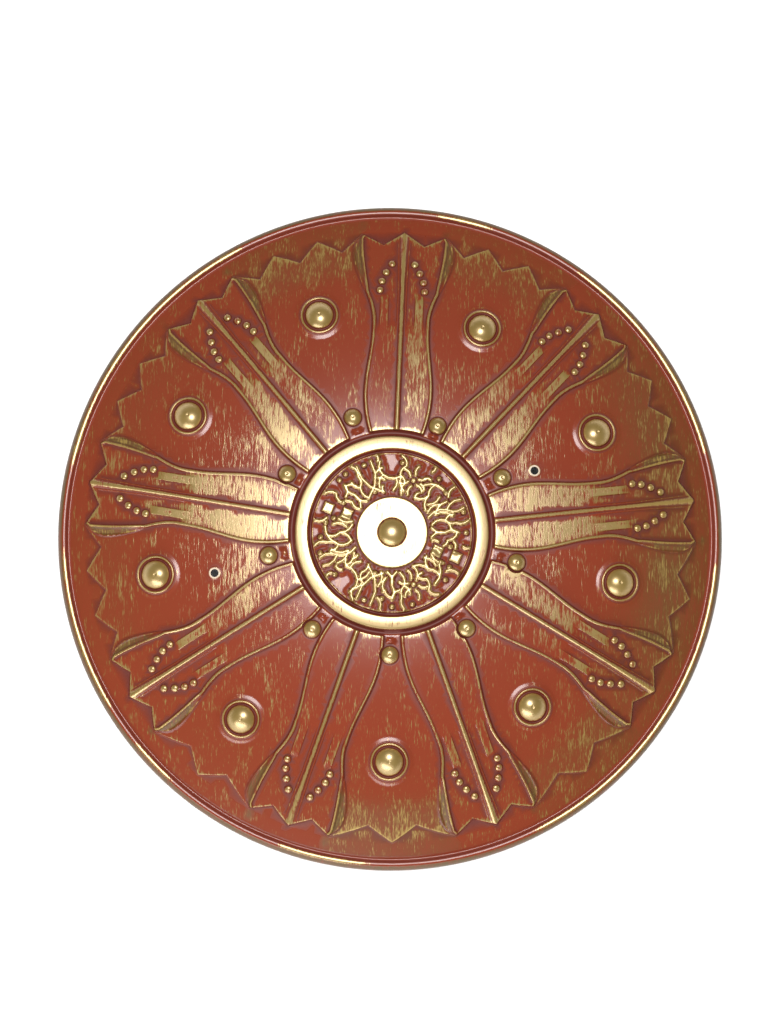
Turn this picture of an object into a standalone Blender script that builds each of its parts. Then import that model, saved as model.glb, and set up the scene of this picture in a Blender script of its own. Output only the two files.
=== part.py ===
"""A round costume shield, vacuum formed from one sheet of plastic.

The shield lies face up on the trimmed edge of its rim. Metres, +Z up, with the
origin on the floor under the middle of the shield.

The pattern is drawn as lines in plan, triangulated between them, and lifted to
the height that the mould gives the sheet there. The back is the same drawing,
held in by the thickness of the sheet, and the two are joined along the trim.
"""
import math

import bmesh
import bpy
import numpy as np
from mathutils import Matrix, Vector
from mathutils.geometry import delaunay_2d_cdt

NAME = "round_costume_shield"

# The sheet and its dome
DIAMETER = 0.500
SHEET = 0.0015
DOME_RISE = 0.053

# The rim: a turned-down skirt, a half-round bead, and a groove inside the bead
SKIRT_HEIGHT = 0.0070
SKIRT_DRAFT = 0.0008
BEAD_WIDTH = 0.0065
BEAD_RISE = 0.0030
GROOVE_WIDTH = 0.0015
GROOVE_LIFT = 0.0005
BACK_FOOT_DROP = 1.3

# The raised plate with its edge of teeth, and the plain band outside it
PLAIN_BAND = 0.0130
TOOTH_FLANK = 0.0014
TOOTH_DEPTH_ON_RAYS = 0.0095
TOOTH_DEPTH_BETWEEN = 0.0125
PLATE_RISE = 0.0012

# The teeth between the rays: how many there are in each gap, and where the end valleys lie
TEETH_BETWEEN = (2, 2, 2, 2, 2, 1, 1, 1, 1)
VALLEY_SHARES = {1: 0.6, 2: 0.5}

# The nine rays, set out by eye on the mould: degrees anticlockwise from +X
RAY_ANGLES = (6.8, 46.9, 87.4, 129.3, 169.9, 211.7, 250.4, 290.1, 329.5)
RAY_TIP_ANGLE = 8.0
RAY_RISE = 0.0016
RAY_FLANK = 0.0020
RAY_HALF_WIDTH_AT_RING = 0.0205
RAY_SWELL_HALF_WIDTH = 0.0262
RAY_SWELL_FROM_RING = 0.0325
RAY_WAIST_HALF_WIDTH = 0.0222
RAY_WAIST_FROM_TIP = 0.0680
RAY_WAIST_LENGTH = 0.0080
RAY_BULGE = 0.0064
RAY_BULGE_FROM_TIP = 0.0130
MIDRIB_HALF_WIDTH = 0.0019
MIDRIB_HALF_WIDTH_AT_TIP = 0.0033
MIDRIB_RISE = 0.0016

# The leaf on each side of a ray's tip: a long facet from the flat of the ray down to its edge
LEAF_LENGTH = 0.041
LEAF_SPREAD = 0.0054

# Four pearls in a bowed row on each half of a ray
PEARL_COUNT = 4
PEARL_RADIUS = 0.0030
PEARL_RISE = 0.0024
PEARLS_FROM_TIP = 0.0245
PEARL_ROW_LENGTH = 0.0210
PEARLS_FROM_MIDRIB = 0.0085
PEARL_ROW_BOW = 0.0082

# The nine bosses between the rays: how far each one sits in from the teeth, and off the middle
BOSSES_FROM_TEETH = (0.0573, 0.0601, 0.0559, 0.0531, 0.0507, 0.0516, 0.0597, 0.0630, 0.0546)
BOSS_SHIFTS = (-0.4, -0.9, -0.2, 0.1, -1.1, -0.2, -0.8, -0.6, 0.0)
BOSS_RADIUS = 0.0109
BOSS_RISE = 0.0070
BOSS_MOAT_RISE = 0.0010
COLLAR_WIDTH = 0.0036
COLLAR_RISE = 0.0024
BOSS_SKIRT_WIDTH = 0.0035

# The nine small studs at the medallion, also set by eye, and the short block behind each one
STUDS_FROM_RING = (0.0160, 0.0108, 0.0150, 0.0134, 0.0170, 0.0168, 0.0148, 0.0141, 0.0194)
STUD_SHIFTS = (-0.2, -0.3, 0.3, 1.0, -0.4, -0.6, -1.2, -1.7, -1.4)
STUD_RADIUS = 0.0068
STUD_RISE = 0.0048
STUD_MOAT_WIDTH = 0.0012
BLOCK_LENGTH = 0.0048
BLOCK_HALF_WIDTH = 0.0034
BLOCK_RISE = 0.0014
BLOCK_FLANK = 0.0010

# The medallion, from the middle outwards
CENTRE_BOSS_RADIUS = 0.0109
CENTRE_BOSS_RISE = 0.0062
CENTRE_MOAT_WIDTH = 0.0010
CENTRE_MOAT_DEPTH = 0.0006
DISC_RADIUS = 0.0278
DISC_RISE = 0.0024
FRIEZE_RADIUS = 0.0602
FRIEZE_RISE = 0.0006
INNER_GROOVE_WIDTH = 0.0052
RING_WIDTH = 0.0098
RING_RISE = 0.0042
OUTER_GROOVE_WIDTH = 0.0030
MEDALLION_RISE = 0.0010
MEDALLION_FLANK = 0.0012

# The figures of the frieze, in millimetres: along the band, and outwards from the disc
FIGURE_SCALE = 0.001
STROKE_HALF_WIDTH = 0.0012
STROKE_RISE = 0.0014
DOT_RADIUS = 0.0021
TABLET_HALF_WIDTH = 0.0042
FIGURE_STROKES = {
    "standing": ((-3, 2, 0, 11), (3, 2, 0, 11), (0, 11, 0, 20), (-5, 14, 0, 19), (0, 19, 5, 14)),
    "running": ((-5, 2, 0, 10), (5, 3, 0, 10), (0, 10, 2, 18), (-4, 20, 7, 13)),
    "tree": ((0, 2, 0, 15), (-5, 17, 0, 7), (0, 7, 5, 17), (0, 15, -3, 26), (0, 15, 3, 26)),
    "crossed": ((-5, 3, 5, 25), (5, 3, -5, 25)),
    "beast": ((-6, 13, 6, 14), (-6, 13, -8, 3), (-3, 12, -1, 4), (6, 14, 8, 5), (6, 14, 8, 23)),
    "sun": ((0, 17, 0, 23), (3, 15, 8, 18), (3, 11, 8, 8), (0, 9, 0, 3), (-3, 11, -8, 8), (-3, 15, -8, 18)),
    "tablets": (),
}
FIGURE_DOTS = {
    "standing": ((0, 25),),
    "running": ((3, 23),),
    "tree": (),
    "crossed": ((0, 5), (0, 24)),
    "beast": ((-7, 22),),
    "sun": ((0, 13),),
    "tablets": ((-6, 13), (6, 15)),
}
TABLETS = ((0, 7, 0, 8), (0, 20, 0, 21))
FRIEZE = ("standing", "tree", "running", "sun", "beast", "crossed", "standing", "tablets",
          "running", "tree", "beast", "crossed", "standing", "sun", "running", "tablets")

# The two punched strap holes: degrees and distance from the middle
STRAP_HOLES = ((23.8, 0.1155), (192.6, 0.1340))
HOLE_RADIUS = 0.0030
LIP_WIDTH = 0.0014
LIP_RISE = 0.0005
LIP_FLANK = 0.0004
SEAT_RADIUS = 0.0075

# How finely the drawing is divided
RIM_SIDES = 72
RING_SIDES = 36
DISC_SIDES = 24
BOSS_SIDES = 10
STUD_SIDES = 8
PEARL_SIDES = 5
LAND_SIDES = 12
RIB_STEPS = 4
GRID_FRONT = 0.036
GRID_BACK = 0.044
MERGE_DISTANCE = 2e-5

# Sizes that follow from the ones above
RADIUS = DIAMETER / 2
BEAD_MIDDLE = RADIUS - SKIRT_DRAFT - BEAD_WIDTH / 2
FIELD_RADIUS = RADIUS - SKIRT_DRAFT - BEAD_WIDTH - GROOVE_WIDTH
FIELD_EDGE = SKIRT_HEIGHT + GROOVE_LIFT
TIP_RADIUS = FIELD_RADIUS - PLAIN_BAND
RING_INNER = FRIEZE_RADIUS + INNER_GROOVE_WIDTH
RING_OUTER = RING_INNER + RING_WIDTH
MEDALLION_RADIUS = RING_OUTER + OUTER_GROOVE_WIDTH
TIP_ALONG = TIP_RADIUS * math.cos(math.radians(RAY_TIP_ANGLE))
TIP_ACROSS = TIP_RADIUS * math.sin(math.radians(RAY_TIP_ANGLE))
RAY_START = math.sqrt(MEDALLION_RADIUS ** 2 - RAY_HALF_WIDTH_AT_RING ** 2)
RAY_SWELL = RAY_START + RAY_SWELL_FROM_RING
RAY_WAIST_END = TIP_ALONG - RAY_WAIST_FROM_TIP
RAY_WAIST_START = RAY_WAIST_END - RAY_WAIST_LENGTH
RAY_BULGE_AT = TIP_ALONG - RAY_BULGE_FROM_TIP
SPHERE_RADIUS = (FIELD_RADIUS ** 2 + DOME_RISE ** 2) / (2 * DOME_RISE)
SPHERE_MIDDLE = FIELD_EDGE + DOME_RISE - SPHERE_RADIUS


def clear_scene():
    """Start from an empty file."""
    for old in list(bpy.data.objects):
        bpy.data.objects.remove(old, do_unlink=True)


def clamp(values):
    """Hold values between nought and one."""
    return np.clip(values, 0.0, 1.0)


def ease(values):
    """A soft step from nought to one."""
    u = clamp(values)
    return u * u * (3.0 - 2.0 * u)


def turn(angle, along, across):
    """A point given along and across a direction, in degrees, as x and y."""
    c = math.cos(math.radians(angle))
    s = math.sin(math.radians(angle))
    return along * c - across * s, along * s + across * c


def gap_after(index):
    """The angle from one ray to the next, in degrees."""
    here = RAY_ANGLES[index]
    after = RAY_ANGLES[(index + 1) % len(RAY_ANGLES)]
    return (after - here) % 360.0


def mid_angle(index):
    """The direction half way between a ray and the next one."""
    return RAY_ANGLES[index] + gap_after(index) / 2


def rim_profile(inset):
    """Radius and height of the rim, from the trimmed edge inwards over the bead."""
    points = [(RADIUS - inset, 0.0)]
    half = BEAD_WIDTH / 2 - inset
    top = SKIRT_HEIGHT + BEAD_RISE - inset
    inner_foot = SKIRT_HEIGHT - BACK_FOOT_DROP * inset
    for degrees in ((0, 60, 120, 180) if inset == 0 else (0, 90, 180)):
        lift = math.sin(math.radians(degrees))
        foot = SKIRT_HEIGHT if degrees < 90 else inner_foot
        points.append((BEAD_MIDDLE + half * math.cos(math.radians(degrees)), foot + (top - foot) * lift))
    return points


def sheet_height(r, inset):
    """The plain sheet before its relief: the rim outside, a spherical cap inside."""
    cap = SPHERE_MIDDLE + np.sqrt((SPHERE_RADIUS - inset) ** 2 - np.minimum(r, FIELD_RADIUS) ** 2)
    edge = float(SPHERE_MIDDLE + math.sqrt((SPHERE_RADIUS - inset) ** 2 - FIELD_RADIUS ** 2))
    profile = [(FIELD_RADIUS, edge)] + rim_profile(inset)[::-1]
    radii = [p[0] for p in profile]
    heights = [p[1] for p in profile]
    return np.where(r <= FIELD_RADIUS, cap, np.interp(r, radii, heights))


def nearest_ray(x, y):
    """Distance out along the nearest ray, distance across it, and the tooth under the point."""
    r = np.hypot(x, y)
    theta = np.degrees(np.arctan2(y, x))
    turns = np.stack([(theta - a + 180.0) % 360.0 - 180.0 for a in RAY_ANGLES])
    best = np.argmin(np.abs(turns), axis=0)
    off = np.take_along_axis(turns, best[None], axis=0)[0]
    after = np.array([gap_after(i) for i in range(len(RAY_ANGLES))])
    before = np.roll(after, 1)
    gap = np.where(off > 0, after[best], before[best])
    teeth = np.array(TEETH_BETWEEN)
    teeth = np.where(off > 0, teeth[best], np.roll(teeth, 1)[best])
    pitch = (gap - 2.0 * RAY_TIP_ANGLE) / (teeth + 1)
    beyond = np.abs(off) > RAY_TIP_ANGLE
    tooth = np.where(beyond, (np.abs(off) - RAY_TIP_ANGLE) / pitch, np.abs(off) / RAY_TIP_ANGLE) % 1.0
    share = np.where(beyond & (teeth == 1), VALLEY_SHARES[1], VALLEY_SHARES[2])
    depth = np.where(beyond, TOOTH_DEPTH_BETWEEN, TOOTH_DEPTH_ON_RAYS)
    edge = TIP_RADIUS - depth * np.minimum(tooth / share, (1.0 - tooth) / (1.0 - share))
    return r * np.cos(np.radians(off)), r * np.sin(np.radians(off)), edge


def ray_half_width(along):
    """Half the width of a ray: a swell near the ring, a waist, then a bulge behind its tips."""
    to_swell = 1.0 - clamp(1.0 - (along - RAY_START) / RAY_SWELL_FROM_RING) ** 2
    to_waist = ease((along - RAY_SWELL) / (RAY_WAIST_START - RAY_SWELL))
    to_bulge = ease((along - RAY_WAIST_END) / (RAY_BULGE_AT - RAY_WAIST_END))
    width = RAY_HALF_WIDTH_AT_RING + (RAY_SWELL_HALF_WIDTH - RAY_HALF_WIDTH_AT_RING) * to_swell
    width = width + (RAY_WAIST_HALF_WIDTH - RAY_SWELL_HALF_WIDTH) * to_waist
    width = width + (TIP_ACROSS + RAY_BULGE - RAY_WAIST_HALF_WIDTH) * to_bulge
    return width - RAY_BULGE * clamp((along - RAY_BULGE_AT) / RAY_BULGE_FROM_TIP) ** 2


def flat_half_width(along):
    """Half the width of a ray's flat, inside its flanks and its leaves."""
    leaf_line = TIP_ACROSS - LEAF_SPREAD * clamp((TIP_ALONG - along) / LEAF_LENGTH) ** 1.6
    return np.minimum(ray_half_width(along) - RAY_FLANK, leaf_line)


def midrib_half_width(along):
    """Half the width of a midrib, which spreads beside the leaves."""
    spread = clamp((along - TIP_RADIUS + LEAF_LENGTH) / LEAF_LENGTH)
    return MIDRIB_HALF_WIDTH + (MIDRIB_HALF_WIDTH_AT_TIP - MIDRIB_HALF_WIDTH) * spread


def knob(rho, radius, rise, inset):
    """A half-round knob; inside the sheet its hollow is smaller by the sheet's thickness."""
    return rise * np.sqrt(clamp(1.0 - (rho / (radius - inset)) ** 2))


def boss_profile(inset):
    """Radii and heights of a boss, from its top to the foot of its soft skirt."""
    radius = BOSS_RADIUS - inset
    if inset > 0:
        radii = [0.0, 0.7 * radius, radius]
        return radii, [BOSS_RISE * math.sqrt(1.0 - (r / radius) ** 2) for r in radii]
    shares = (0.0, 0.5, 0.87, 1.0)
    radii = [radius * share for share in shares]
    heights = [BOSS_MOAT_RISE + BOSS_RISE * math.sqrt(1.0 - share ** 2) for share in shares]
    radii += [BOSS_RADIUS + COLLAR_WIDTH / 2, BOSS_RADIUS + COLLAR_WIDTH + BOSS_SKIRT_WIDTH]
    heights += [COLLAR_RISE, 0.0]
    return radii, heights


def band(r, inner, outer, inset):
    """A raised band between two radii, with drafted flanks."""
    lower = (r - inner - inset) / MEDALLION_FLANK
    upper = (outer - inset - r) / MEDALLION_FLANK
    return clamp(np.minimum(lower, upper))


def on_frieze(angle, across, outwards):
    """A point of a figure, in plan, from its place in the figure's own millimetres."""
    return turn(angle, DISC_RADIUS + outwards * FIGURE_SCALE, across * FIGURE_SCALE)


def frieze_marks():
    """The frieze's strokes, each with half its width, and its dots, in plan."""
    strokes = []
    dots = []
    for index, figure in enumerate(FRIEZE):
        angle = 360.0 * index / len(FRIEZE)
        lines = [(line, STROKE_HALF_WIDTH) for line in FIGURE_STROKES[figure]]
        if figure == "tablets":
            lines = [(line, TABLET_HALF_WIDTH) for line in TABLETS]
        for (x0, y0, x1, y1), half_width in lines:
            strokes.append((on_frieze(angle, x0, y0), on_frieze(angle, x1, y1), half_width))
        for x0, y0 in FIGURE_DOTS[figure]:
            dots.append(on_frieze(angle, x0, y0))
    return strokes, dots


def frieze_relief(x, y):
    """The height of the figures above the floor of the frieze: strokes with sloping sides."""
    height = np.zeros_like(x)
    strokes, dots = frieze_marks()
    for (x0, y0), (x1, y1), half_width in strokes:
        dx = x1 - x0
        dy = y1 - y0
        u = clamp(((x - x0) * dx + (y - y0) * dy) / (dx * dx + dy * dy))
        distance = np.hypot(x - x0 - u * dx, y - y0 - u * dy)
        height = np.maximum(height, STROKE_RISE * clamp((half_width - distance) / STROKE_HALF_WIDTH))
    for x0, y0 in dots:
        distance = np.hypot(x - x0, y - y0)
        height = np.maximum(height, STROKE_RISE * clamp((DOT_RADIUS - distance) / STROKE_HALF_WIDTH))
    return height


def medallion_relief(x, y, inset):
    """The medallion: centre boss, disc, frieze and ring above its own floor."""
    r = np.hypot(x, y)
    moat_outer = CENTRE_BOSS_RADIUS + CENTRE_MOAT_WIDTH
    height = FRIEZE_RISE * clamp((FRIEZE_RADIUS - r) / MEDALLION_FLANK)
    height = height + DISC_RISE * clamp((DISC_RADIUS - inset - r) / MEDALLION_FLANK)
    height = height - CENTRE_MOAT_DEPTH * clamp((moat_outer - r) / CENTRE_MOAT_WIDTH)
    height = height + knob(r, CENTRE_BOSS_RADIUS, CENTRE_BOSS_RISE, inset)
    height = height + RING_RISE * band(r, RING_INNER, RING_OUTER, inset)
    if inset == 0:
        height = height + frieze_relief(x, y)
    return height


def ray_relief(along, across, inset):
    """A ray above the plate: its flat, the facets down to its edge, and its midrib."""
    side = np.abs(across)
    width = ray_half_width(along)
    height = RAY_RISE * clamp((width - inset - side) / (width - flat_half_width(along)))
    if inset == 0:
        height = height + MIDRIB_RISE * clamp(1.0 - side / midrib_half_width(along))
    return height


def pearl_places():
    """The pearls of every ray, as points in plan."""
    places = []
    for angle in RAY_ANGLES:
        for side in (-1, 1):
            for index in range(PEARL_COUNT):
                u = index / (PEARL_COUNT - 1)
                along = TIP_RADIUS - PEARLS_FROM_TIP - PEARL_ROW_LENGTH * u
                across = PEARLS_FROM_MIDRIB + PEARL_ROW_BOW * math.sin(u * math.pi / 2)
                places.append(turn(angle, along, side * across))
    return places


def boss_places():
    """The bosses, near the middle of the gaps, as points in plan."""
    places = []
    for index, (inward, shift) in enumerate(zip(BOSSES_FROM_TEETH, BOSS_SHIFTS)):
        places.append(turn(mid_angle(index) + shift, TIP_RADIUS - inward, 0.0))
    return places


def stud_lines():
    """The direction and the distance of every stud."""
    lines = []
    for index, (outward, shift) in enumerate(zip(STUDS_FROM_RING, STUD_SHIFTS)):
        lines.append((mid_angle(index) + shift, RING_OUTER + outward))
    return lines


def stud_places():
    """The studs, close to the ring, as points in plan."""
    return [turn(angle, distance, 0.0) for angle, distance in stud_lines()]


def hole_places():
    """The strap holes, as points in plan."""
    return [turn(angle, distance, 0.0) for angle, distance in STRAP_HOLES]


def block_lines():
    """The direction and the distance of every block: half way between the ring's groove and the stud."""
    return [(angle, (MEDALLION_RADIUS + distance - STUD_RADIUS) / 2) for angle, distance in stud_lines()]


def block_relief(x, y):
    """The short block between the ring and each stud."""
    height = np.zeros_like(x)
    for angle, middle in block_lines():
        along, across = turn(-angle, x, y)
        inside = np.minimum(BLOCK_LENGTH / 2 - np.abs(along - middle), BLOCK_HALF_WIDTH - np.abs(across))
        height = np.maximum(height, BLOCK_RISE * clamp(inside / BLOCK_FLANK))
    return height


def surface_height(x, y, inset):
    """The height of the moulded sheet; inset 0 is its face, SHEET its back."""
    x = np.asarray(x, dtype=float)
    y = np.asarray(y, dtype=float)
    r = np.hypot(x, y)
    along, across, edge = nearest_ray(x, y)
    plate = clamp(1.0 - (r - edge + inset) / TOOTH_FLANK)
    outside = PLATE_RISE + ray_relief(along, across, inset)
    for px, py in boss_places():
        radii, heights = boss_profile(inset)
        outside = outside + np.interp(np.hypot(x - px, y - py), radii, heights)
    for px, py in stud_places():
        rho = np.hypot(x - px, y - py)
        clear = clamp((rho - STUD_RADIUS - inset) / STUD_MOAT_WIDTH)
        outside = PLATE_RISE + (outside - PLATE_RISE) * clear + knob(rho, STUD_RADIUS, STUD_RISE, inset)
    if inset == 0:
        for px, py in pearl_places():
            outside = outside + PEARL_RISE * clamp(1.0 - np.hypot(x - px, y - py) / PEARL_RADIUS)
        outside = outside + block_relief(x, y)
    beyond_ring = clamp((r - MEDALLION_RADIUS - inset) / MEDALLION_FLANK)
    inside = MEDALLION_RISE + medallion_relief(x, y, inset)
    height = sheet_height(r, inset) + plate * (inside * (1.0 - beyond_ring) + outside * beyond_ring)
    return level_the_lands(x, y, height, inset)


def sheet_tangent(px, py, inset):
    """Height and slopes of the plate at a hole."""
    r = math.hypot(px, py)
    down = math.sqrt((SPHERE_RADIUS - inset) ** 2 - r * r)
    return SPHERE_MIDDLE + down + PLATE_RISE, -px / down, -py / down


def level_the_lands(x, y, height, inset):
    """Flat lands round the strap holes: a raised lip on the face, a seat on the back."""
    for px, py in hole_places():
        z, slope_x, slope_y = sheet_tangent(px, py, inset)
        flat = z + slope_x * (x - px) + slope_y * (y - py)
        rho = np.hypot(x - px, y - py)
        if inset == 0:
            lip = HOLE_RADIUS + LIP_WIDTH
            height = np.where(rho <= lip + LIP_FLANK / 2, flat + LIP_RISE, height)
        else:
            height = np.where(rho <= SEAT_RADIUS * 1.001, flat, height)
    return height


class Drawing:
    """Lines and loose points in plan, ready to be triangulated."""

    def __init__(self):
        self.points = []
        self.edges = []

    def line(self, points, closed=False):
        """Add a line through points, which the triangles keep to."""
        start = len(self.points)
        self.points += [tuple(p) for p in points]
        count = len(points)
        for i in range(count - 1):
            self.edges.append((start + i, start + i + 1))
        if closed:
            self.edges.append((start + count - 1, start))

    def circle(self, middle, radius, sides):
        """Add a ring of straight sides."""
        angles = [2 * math.pi * i / sides for i in range(sides)]
        ring = [(middle[0] + radius * math.cos(a), middle[1] + radius * math.sin(a)) for a in angles]
        self.line(ring, closed=True)

    def point(self, place):
        """Add a loose point."""
        self.points.append(tuple(place))

    def triangulate(self):
        """The drawing as triangles, with a new point wherever two lines cross."""
        coords = [Vector(p) for p in self.points]
        result = delaunay_2d_cdt(coords, self.edges, [], 0, MERGE_DISTANCE)
        return np.array([tuple(v) for v in result[0]]), result[2]


def draw_rim(drawing, inset):
    """The rim's rings, from the trimmed edge to the field."""
    radii = [radius for radius, _ in rim_profile(inset)]
    if inset == 0:
        radii.append(FIELD_RADIUS)
    for radius in radii:
        drawing.circle((0.0, 0.0), radius, RIM_SIDES)


def draw_teeth(drawing, inset):
    """The zigzag edge of the plate, at its top and at its foot."""
    angles = []
    for index, start in enumerate(RAY_ANGLES):
        teeth = TEETH_BETWEEN[index]
        pitch = (gap_after(index) - 2 * RAY_TIP_ANGLE) / (teeth + 1)
        marks = [0.0, RAY_TIP_ANGLE / 2]
        for k in range(teeth + 1):
            share = VALLEY_SHARES[teeth] if k == 0 else 1.0 - VALLEY_SHARES[teeth]
            marks += [RAY_TIP_ANGLE + pitch * k, RAY_TIP_ANGLE + pitch * (k + share)]
        marks += [gap_after(index) - RAY_TIP_ANGLE, gap_after(index) - RAY_TIP_ANGLE / 2]
        angles += [math.radians(start + mark) for mark in marks]
    angles = np.array(angles)
    _, _, edge = nearest_ray(np.cos(angles), np.sin(angles))
    for outward in (0.0, TOOTH_FLANK):
        radii = edge - inset + outward
        drawing.line(list(zip(radii * np.cos(angles), radii * np.sin(angles))), closed=True)


def draw_rays(drawing, inset):
    """The edges of the rays and of their flats, and on the face their midribs."""
    bends = (RAY_START, RAY_SWELL, RAY_WAIST_START, RAY_WAIST_END, RAY_BULGE_AT, TIP_ALONG)
    steps = (2, 1, 1, 4, 2) if inset == 0 else (1, 1, 1, 3, 1)
    along = [np.linspace(a, b, count, endpoint=False) for a, b, count in zip(bends, bends[1:], steps)]
    along = np.append(np.concatenate(along), TIP_ALONG)
    rib = np.append(np.linspace(RING_OUTER, TIP_RADIUS - LEAF_LENGTH, RIB_STEPS), TIP_RADIUS)
    rib_half = midrib_half_width(rib)
    for angle in RAY_ANGLES:
        for side in (-1, 1):
            for half_width in (ray_half_width(along), flat_half_width(along)):
                across = side * (half_width - inset)
                drawing.line([turn(angle, a, b) for a, b in zip(along, across)])
        if inset == 0:
            for side in (-1, 0, 1):
                drawing.line([turn(angle, a, side * b) for a, b in zip(rib, rib_half)])


def draw_knobs(drawing, inset):
    """Bosses, studs, pearls and blocks."""
    sides = BOSS_SIDES if inset == 0 else BOSS_SIDES - 3
    radii, _ = boss_profile(inset)
    for place in boss_places():
        drawing.point(place)
        for radius in radii[1:]:
            drawing.circle(place, radius, sides)
    for place in stud_places():
        drawing.point(place)
        for share in ((0.7, 1.0) if inset == 0 else (1.0,)):
            drawing.circle(place, (STUD_RADIUS - inset) * share, STUD_SIDES)
        drawing.circle(place, STUD_RADIUS + inset + STUD_MOAT_WIDTH, STUD_SIDES)
    if inset > 0:
        return
    for place in pearl_places():
        drawing.point(place)
        drawing.circle(place, PEARL_RADIUS, PEARL_SIDES)
    for angle, middle in block_lines():
        for shrink in (0.0, BLOCK_FLANK):
            along = BLOCK_LENGTH / 2 - shrink
            across = BLOCK_HALF_WIDTH - shrink
            corners = [(-along, -across), (along, -across), (along, across), (-along, across)]
            drawing.line([turn(angle, middle + a, b) for a, b in corners], closed=True)


def draw_medallion(drawing, inset):
    """The rings of the medallion, from its outer groove to the centre boss."""
    flank = MEDALLION_FLANK
    radii = [MEDALLION_RADIUS + inset + flank, MEDALLION_RADIUS + inset]
    radii += [RING_OUTER - inset, RING_OUTER - inset - flank, RING_INNER + inset + flank, RING_INNER + inset]
    if inset == 0:
        radii += [FRIEZE_RADIUS, FRIEZE_RADIUS - flank]
    for radius in radii:
        drawing.circle((0.0, 0.0), radius, RING_SIDES if inset == 0 else RING_SIDES - 8)
    for radius in (DISC_RADIUS - inset, DISC_RADIUS - inset - flank):
        drawing.circle((0.0, 0.0), radius, DISC_SIDES)
    boss = CENTRE_BOSS_RADIUS - inset
    drawing.point((0.0, 0.0))
    if inset == 0:
        drawing.circle((0.0, 0.0), CENTRE_BOSS_RADIUS + CENTRE_MOAT_WIDTH, BOSS_SIDES + 4)
    for share in (0.45, 0.8, 1.0):
        drawing.circle((0.0, 0.0), boss * share, BOSS_SIDES + 4)


def draw_frieze(drawing):
    """The figures of the frieze: a crest and a foot round every stroke."""
    strokes, dots = frieze_marks()
    for (x0, y0), (x1, y1), half_width in strokes:
        length = math.hypot(x1 - x0, y1 - y0)
        for reach in (half_width, half_width - STROKE_HALF_WIDTH):
            ux = (x1 - x0) / length * reach
            uy = (y1 - y0) / length * reach
            corners = [(x0 - ux - uy, y0 - uy + ux), (x1 + ux - uy, y1 + uy + ux)]
            corners += [(x1 + ux + uy, y1 + uy - ux), (x0 - ux + uy, y0 - uy - ux)]
            if reach > 0.0:
                drawing.line(corners, closed=True)
            else:
                drawing.line([(x0, y0), (x1, y1)])
    for place in dots:
        drawing.point(place)
        drawing.circle(place, DOT_RADIUS, PEARL_SIDES)


def draw_lands(drawing, inset):
    """The flat lands round the strap holes."""
    lip = HOLE_RADIUS + LIP_WIDTH
    rings = (lip, lip + LIP_FLANK) if inset == 0 else (SEAT_RADIUS,)
    for place in hole_places():
        drawing.point(place)
        for radius in rings:
            drawing.circle(place, radius, LAND_SIDES)


def draw_grid(drawing, spacing):
    """Loose points over the plate, so that it follows the dome between its lines."""
    rows = int(2 * TIP_RADIUS / spacing) + 1
    for row in range(-rows, rows):
        for column in range(-rows, rows):
            x = (column + 0.5 * (row % 2)) * spacing
            y = row * spacing * math.sqrt(0.75)
            r = math.hypot(x, y)
            if MEDALLION_RADIUS + spacing / 2 < r < TIP_RADIUS - TOOTH_DEPTH_BETWEEN:
                drawing.point((x, y))


def draw_side(inset):
    """One side of the sheet, drawn and lifted: its points and triangles."""
    drawing = Drawing()
    draw_rim(drawing, inset)
    draw_teeth(drawing, inset)
    draw_rays(drawing, inset)
    draw_knobs(drawing, inset)
    draw_medallion(drawing, inset)
    draw_lands(drawing, inset)
    draw_grid(drawing, GRID_FRONT if inset == 0 else GRID_BACK)
    if inset == 0:
        draw_frieze(drawing)
    plan, faces = drawing.triangulate()
    heights = surface_height(plan[:, 0], plan[:, 1], inset)
    return np.column_stack([plan, heights]), faces


def make_shell(collection, material):
    """The moulded sheet: face and back joined along the trimmed edge of the rim."""
    bm = bmesh.new()
    for inset in (0.0, SHEET):
        points, faces = draw_side(inset)
        verts = [bm.verts.new(p) for p in points]
        for face in faces:
            corners = [verts[i] for i in face]
            bm.faces.new(corners if inset == 0 else corners[::-1])
    rim = [edge for edge in bm.edges if edge.is_boundary]
    bmesh.ops.bridge_loops(bm, edges=rim)
    bmesh.ops.recalc_face_normals(bm, faces=bm.faces)
    mesh = bpy.data.meshes.new("shield_shell")
    bm.to_mesh(mesh)
    bm.free()
    mesh.shade_smooth()
    mesh.set_sharp_from_angle(angle=math.radians(35))
    mesh.materials.append(material)
    shell = bpy.data.objects.new("shield_shell", mesh)
    collection.objects.link(shell)
    return shell


def punch_strap_holes(shell, cutters):
    """Two round punches, square to the sheet, cut the strap holes."""
    for index, (px, py) in enumerate(hole_places()):
        z, slope_x, slope_y = sheet_tangent(px, py, SHEET / 2)
        normal = Vector((-slope_x, -slope_y, 1.0)).normalized()
        bpy.ops.mesh.primitive_cylinder_add(vertices=LAND_SIDES, radius=HOLE_RADIUS, depth=8 * SHEET)
        punch = bpy.context.object
        punch.name = f"punch_{index + 1}"
        turned = normal.to_track_quat("Z", "Y").to_matrix().to_4x4()
        punch.matrix_world = Matrix.Translation((px, py, z)) @ turned
        for owner in list(punch.users_collection):
            owner.objects.unlink(punch)
        cutters.objects.link(punch)
        punch.hide_render = True
        punch.display_type = "WIRE"
        cut = shell.modifiers.new(f"strap_hole_{index + 1}", "BOOLEAN")
        cut.operation = "DIFFERENCE"
        cut.solver = "EXACT"
        cut.object = punch


def painted_plastic():
    """Glossy red plastic, with gold paint dragged over what stands up."""
    material = bpy.data.materials.new("red_plastic_gold_paint")
    material.use_nodes = True
    shader = material.node_tree.nodes["Principled BSDF"]
    shader.inputs["Base Color"].default_value = (0.36, 0.09, 0.03, 1.0)
    shader.inputs["Roughness"].default_value = 0.30
    shader.inputs["Metallic"].default_value = 0.0
    return material


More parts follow.
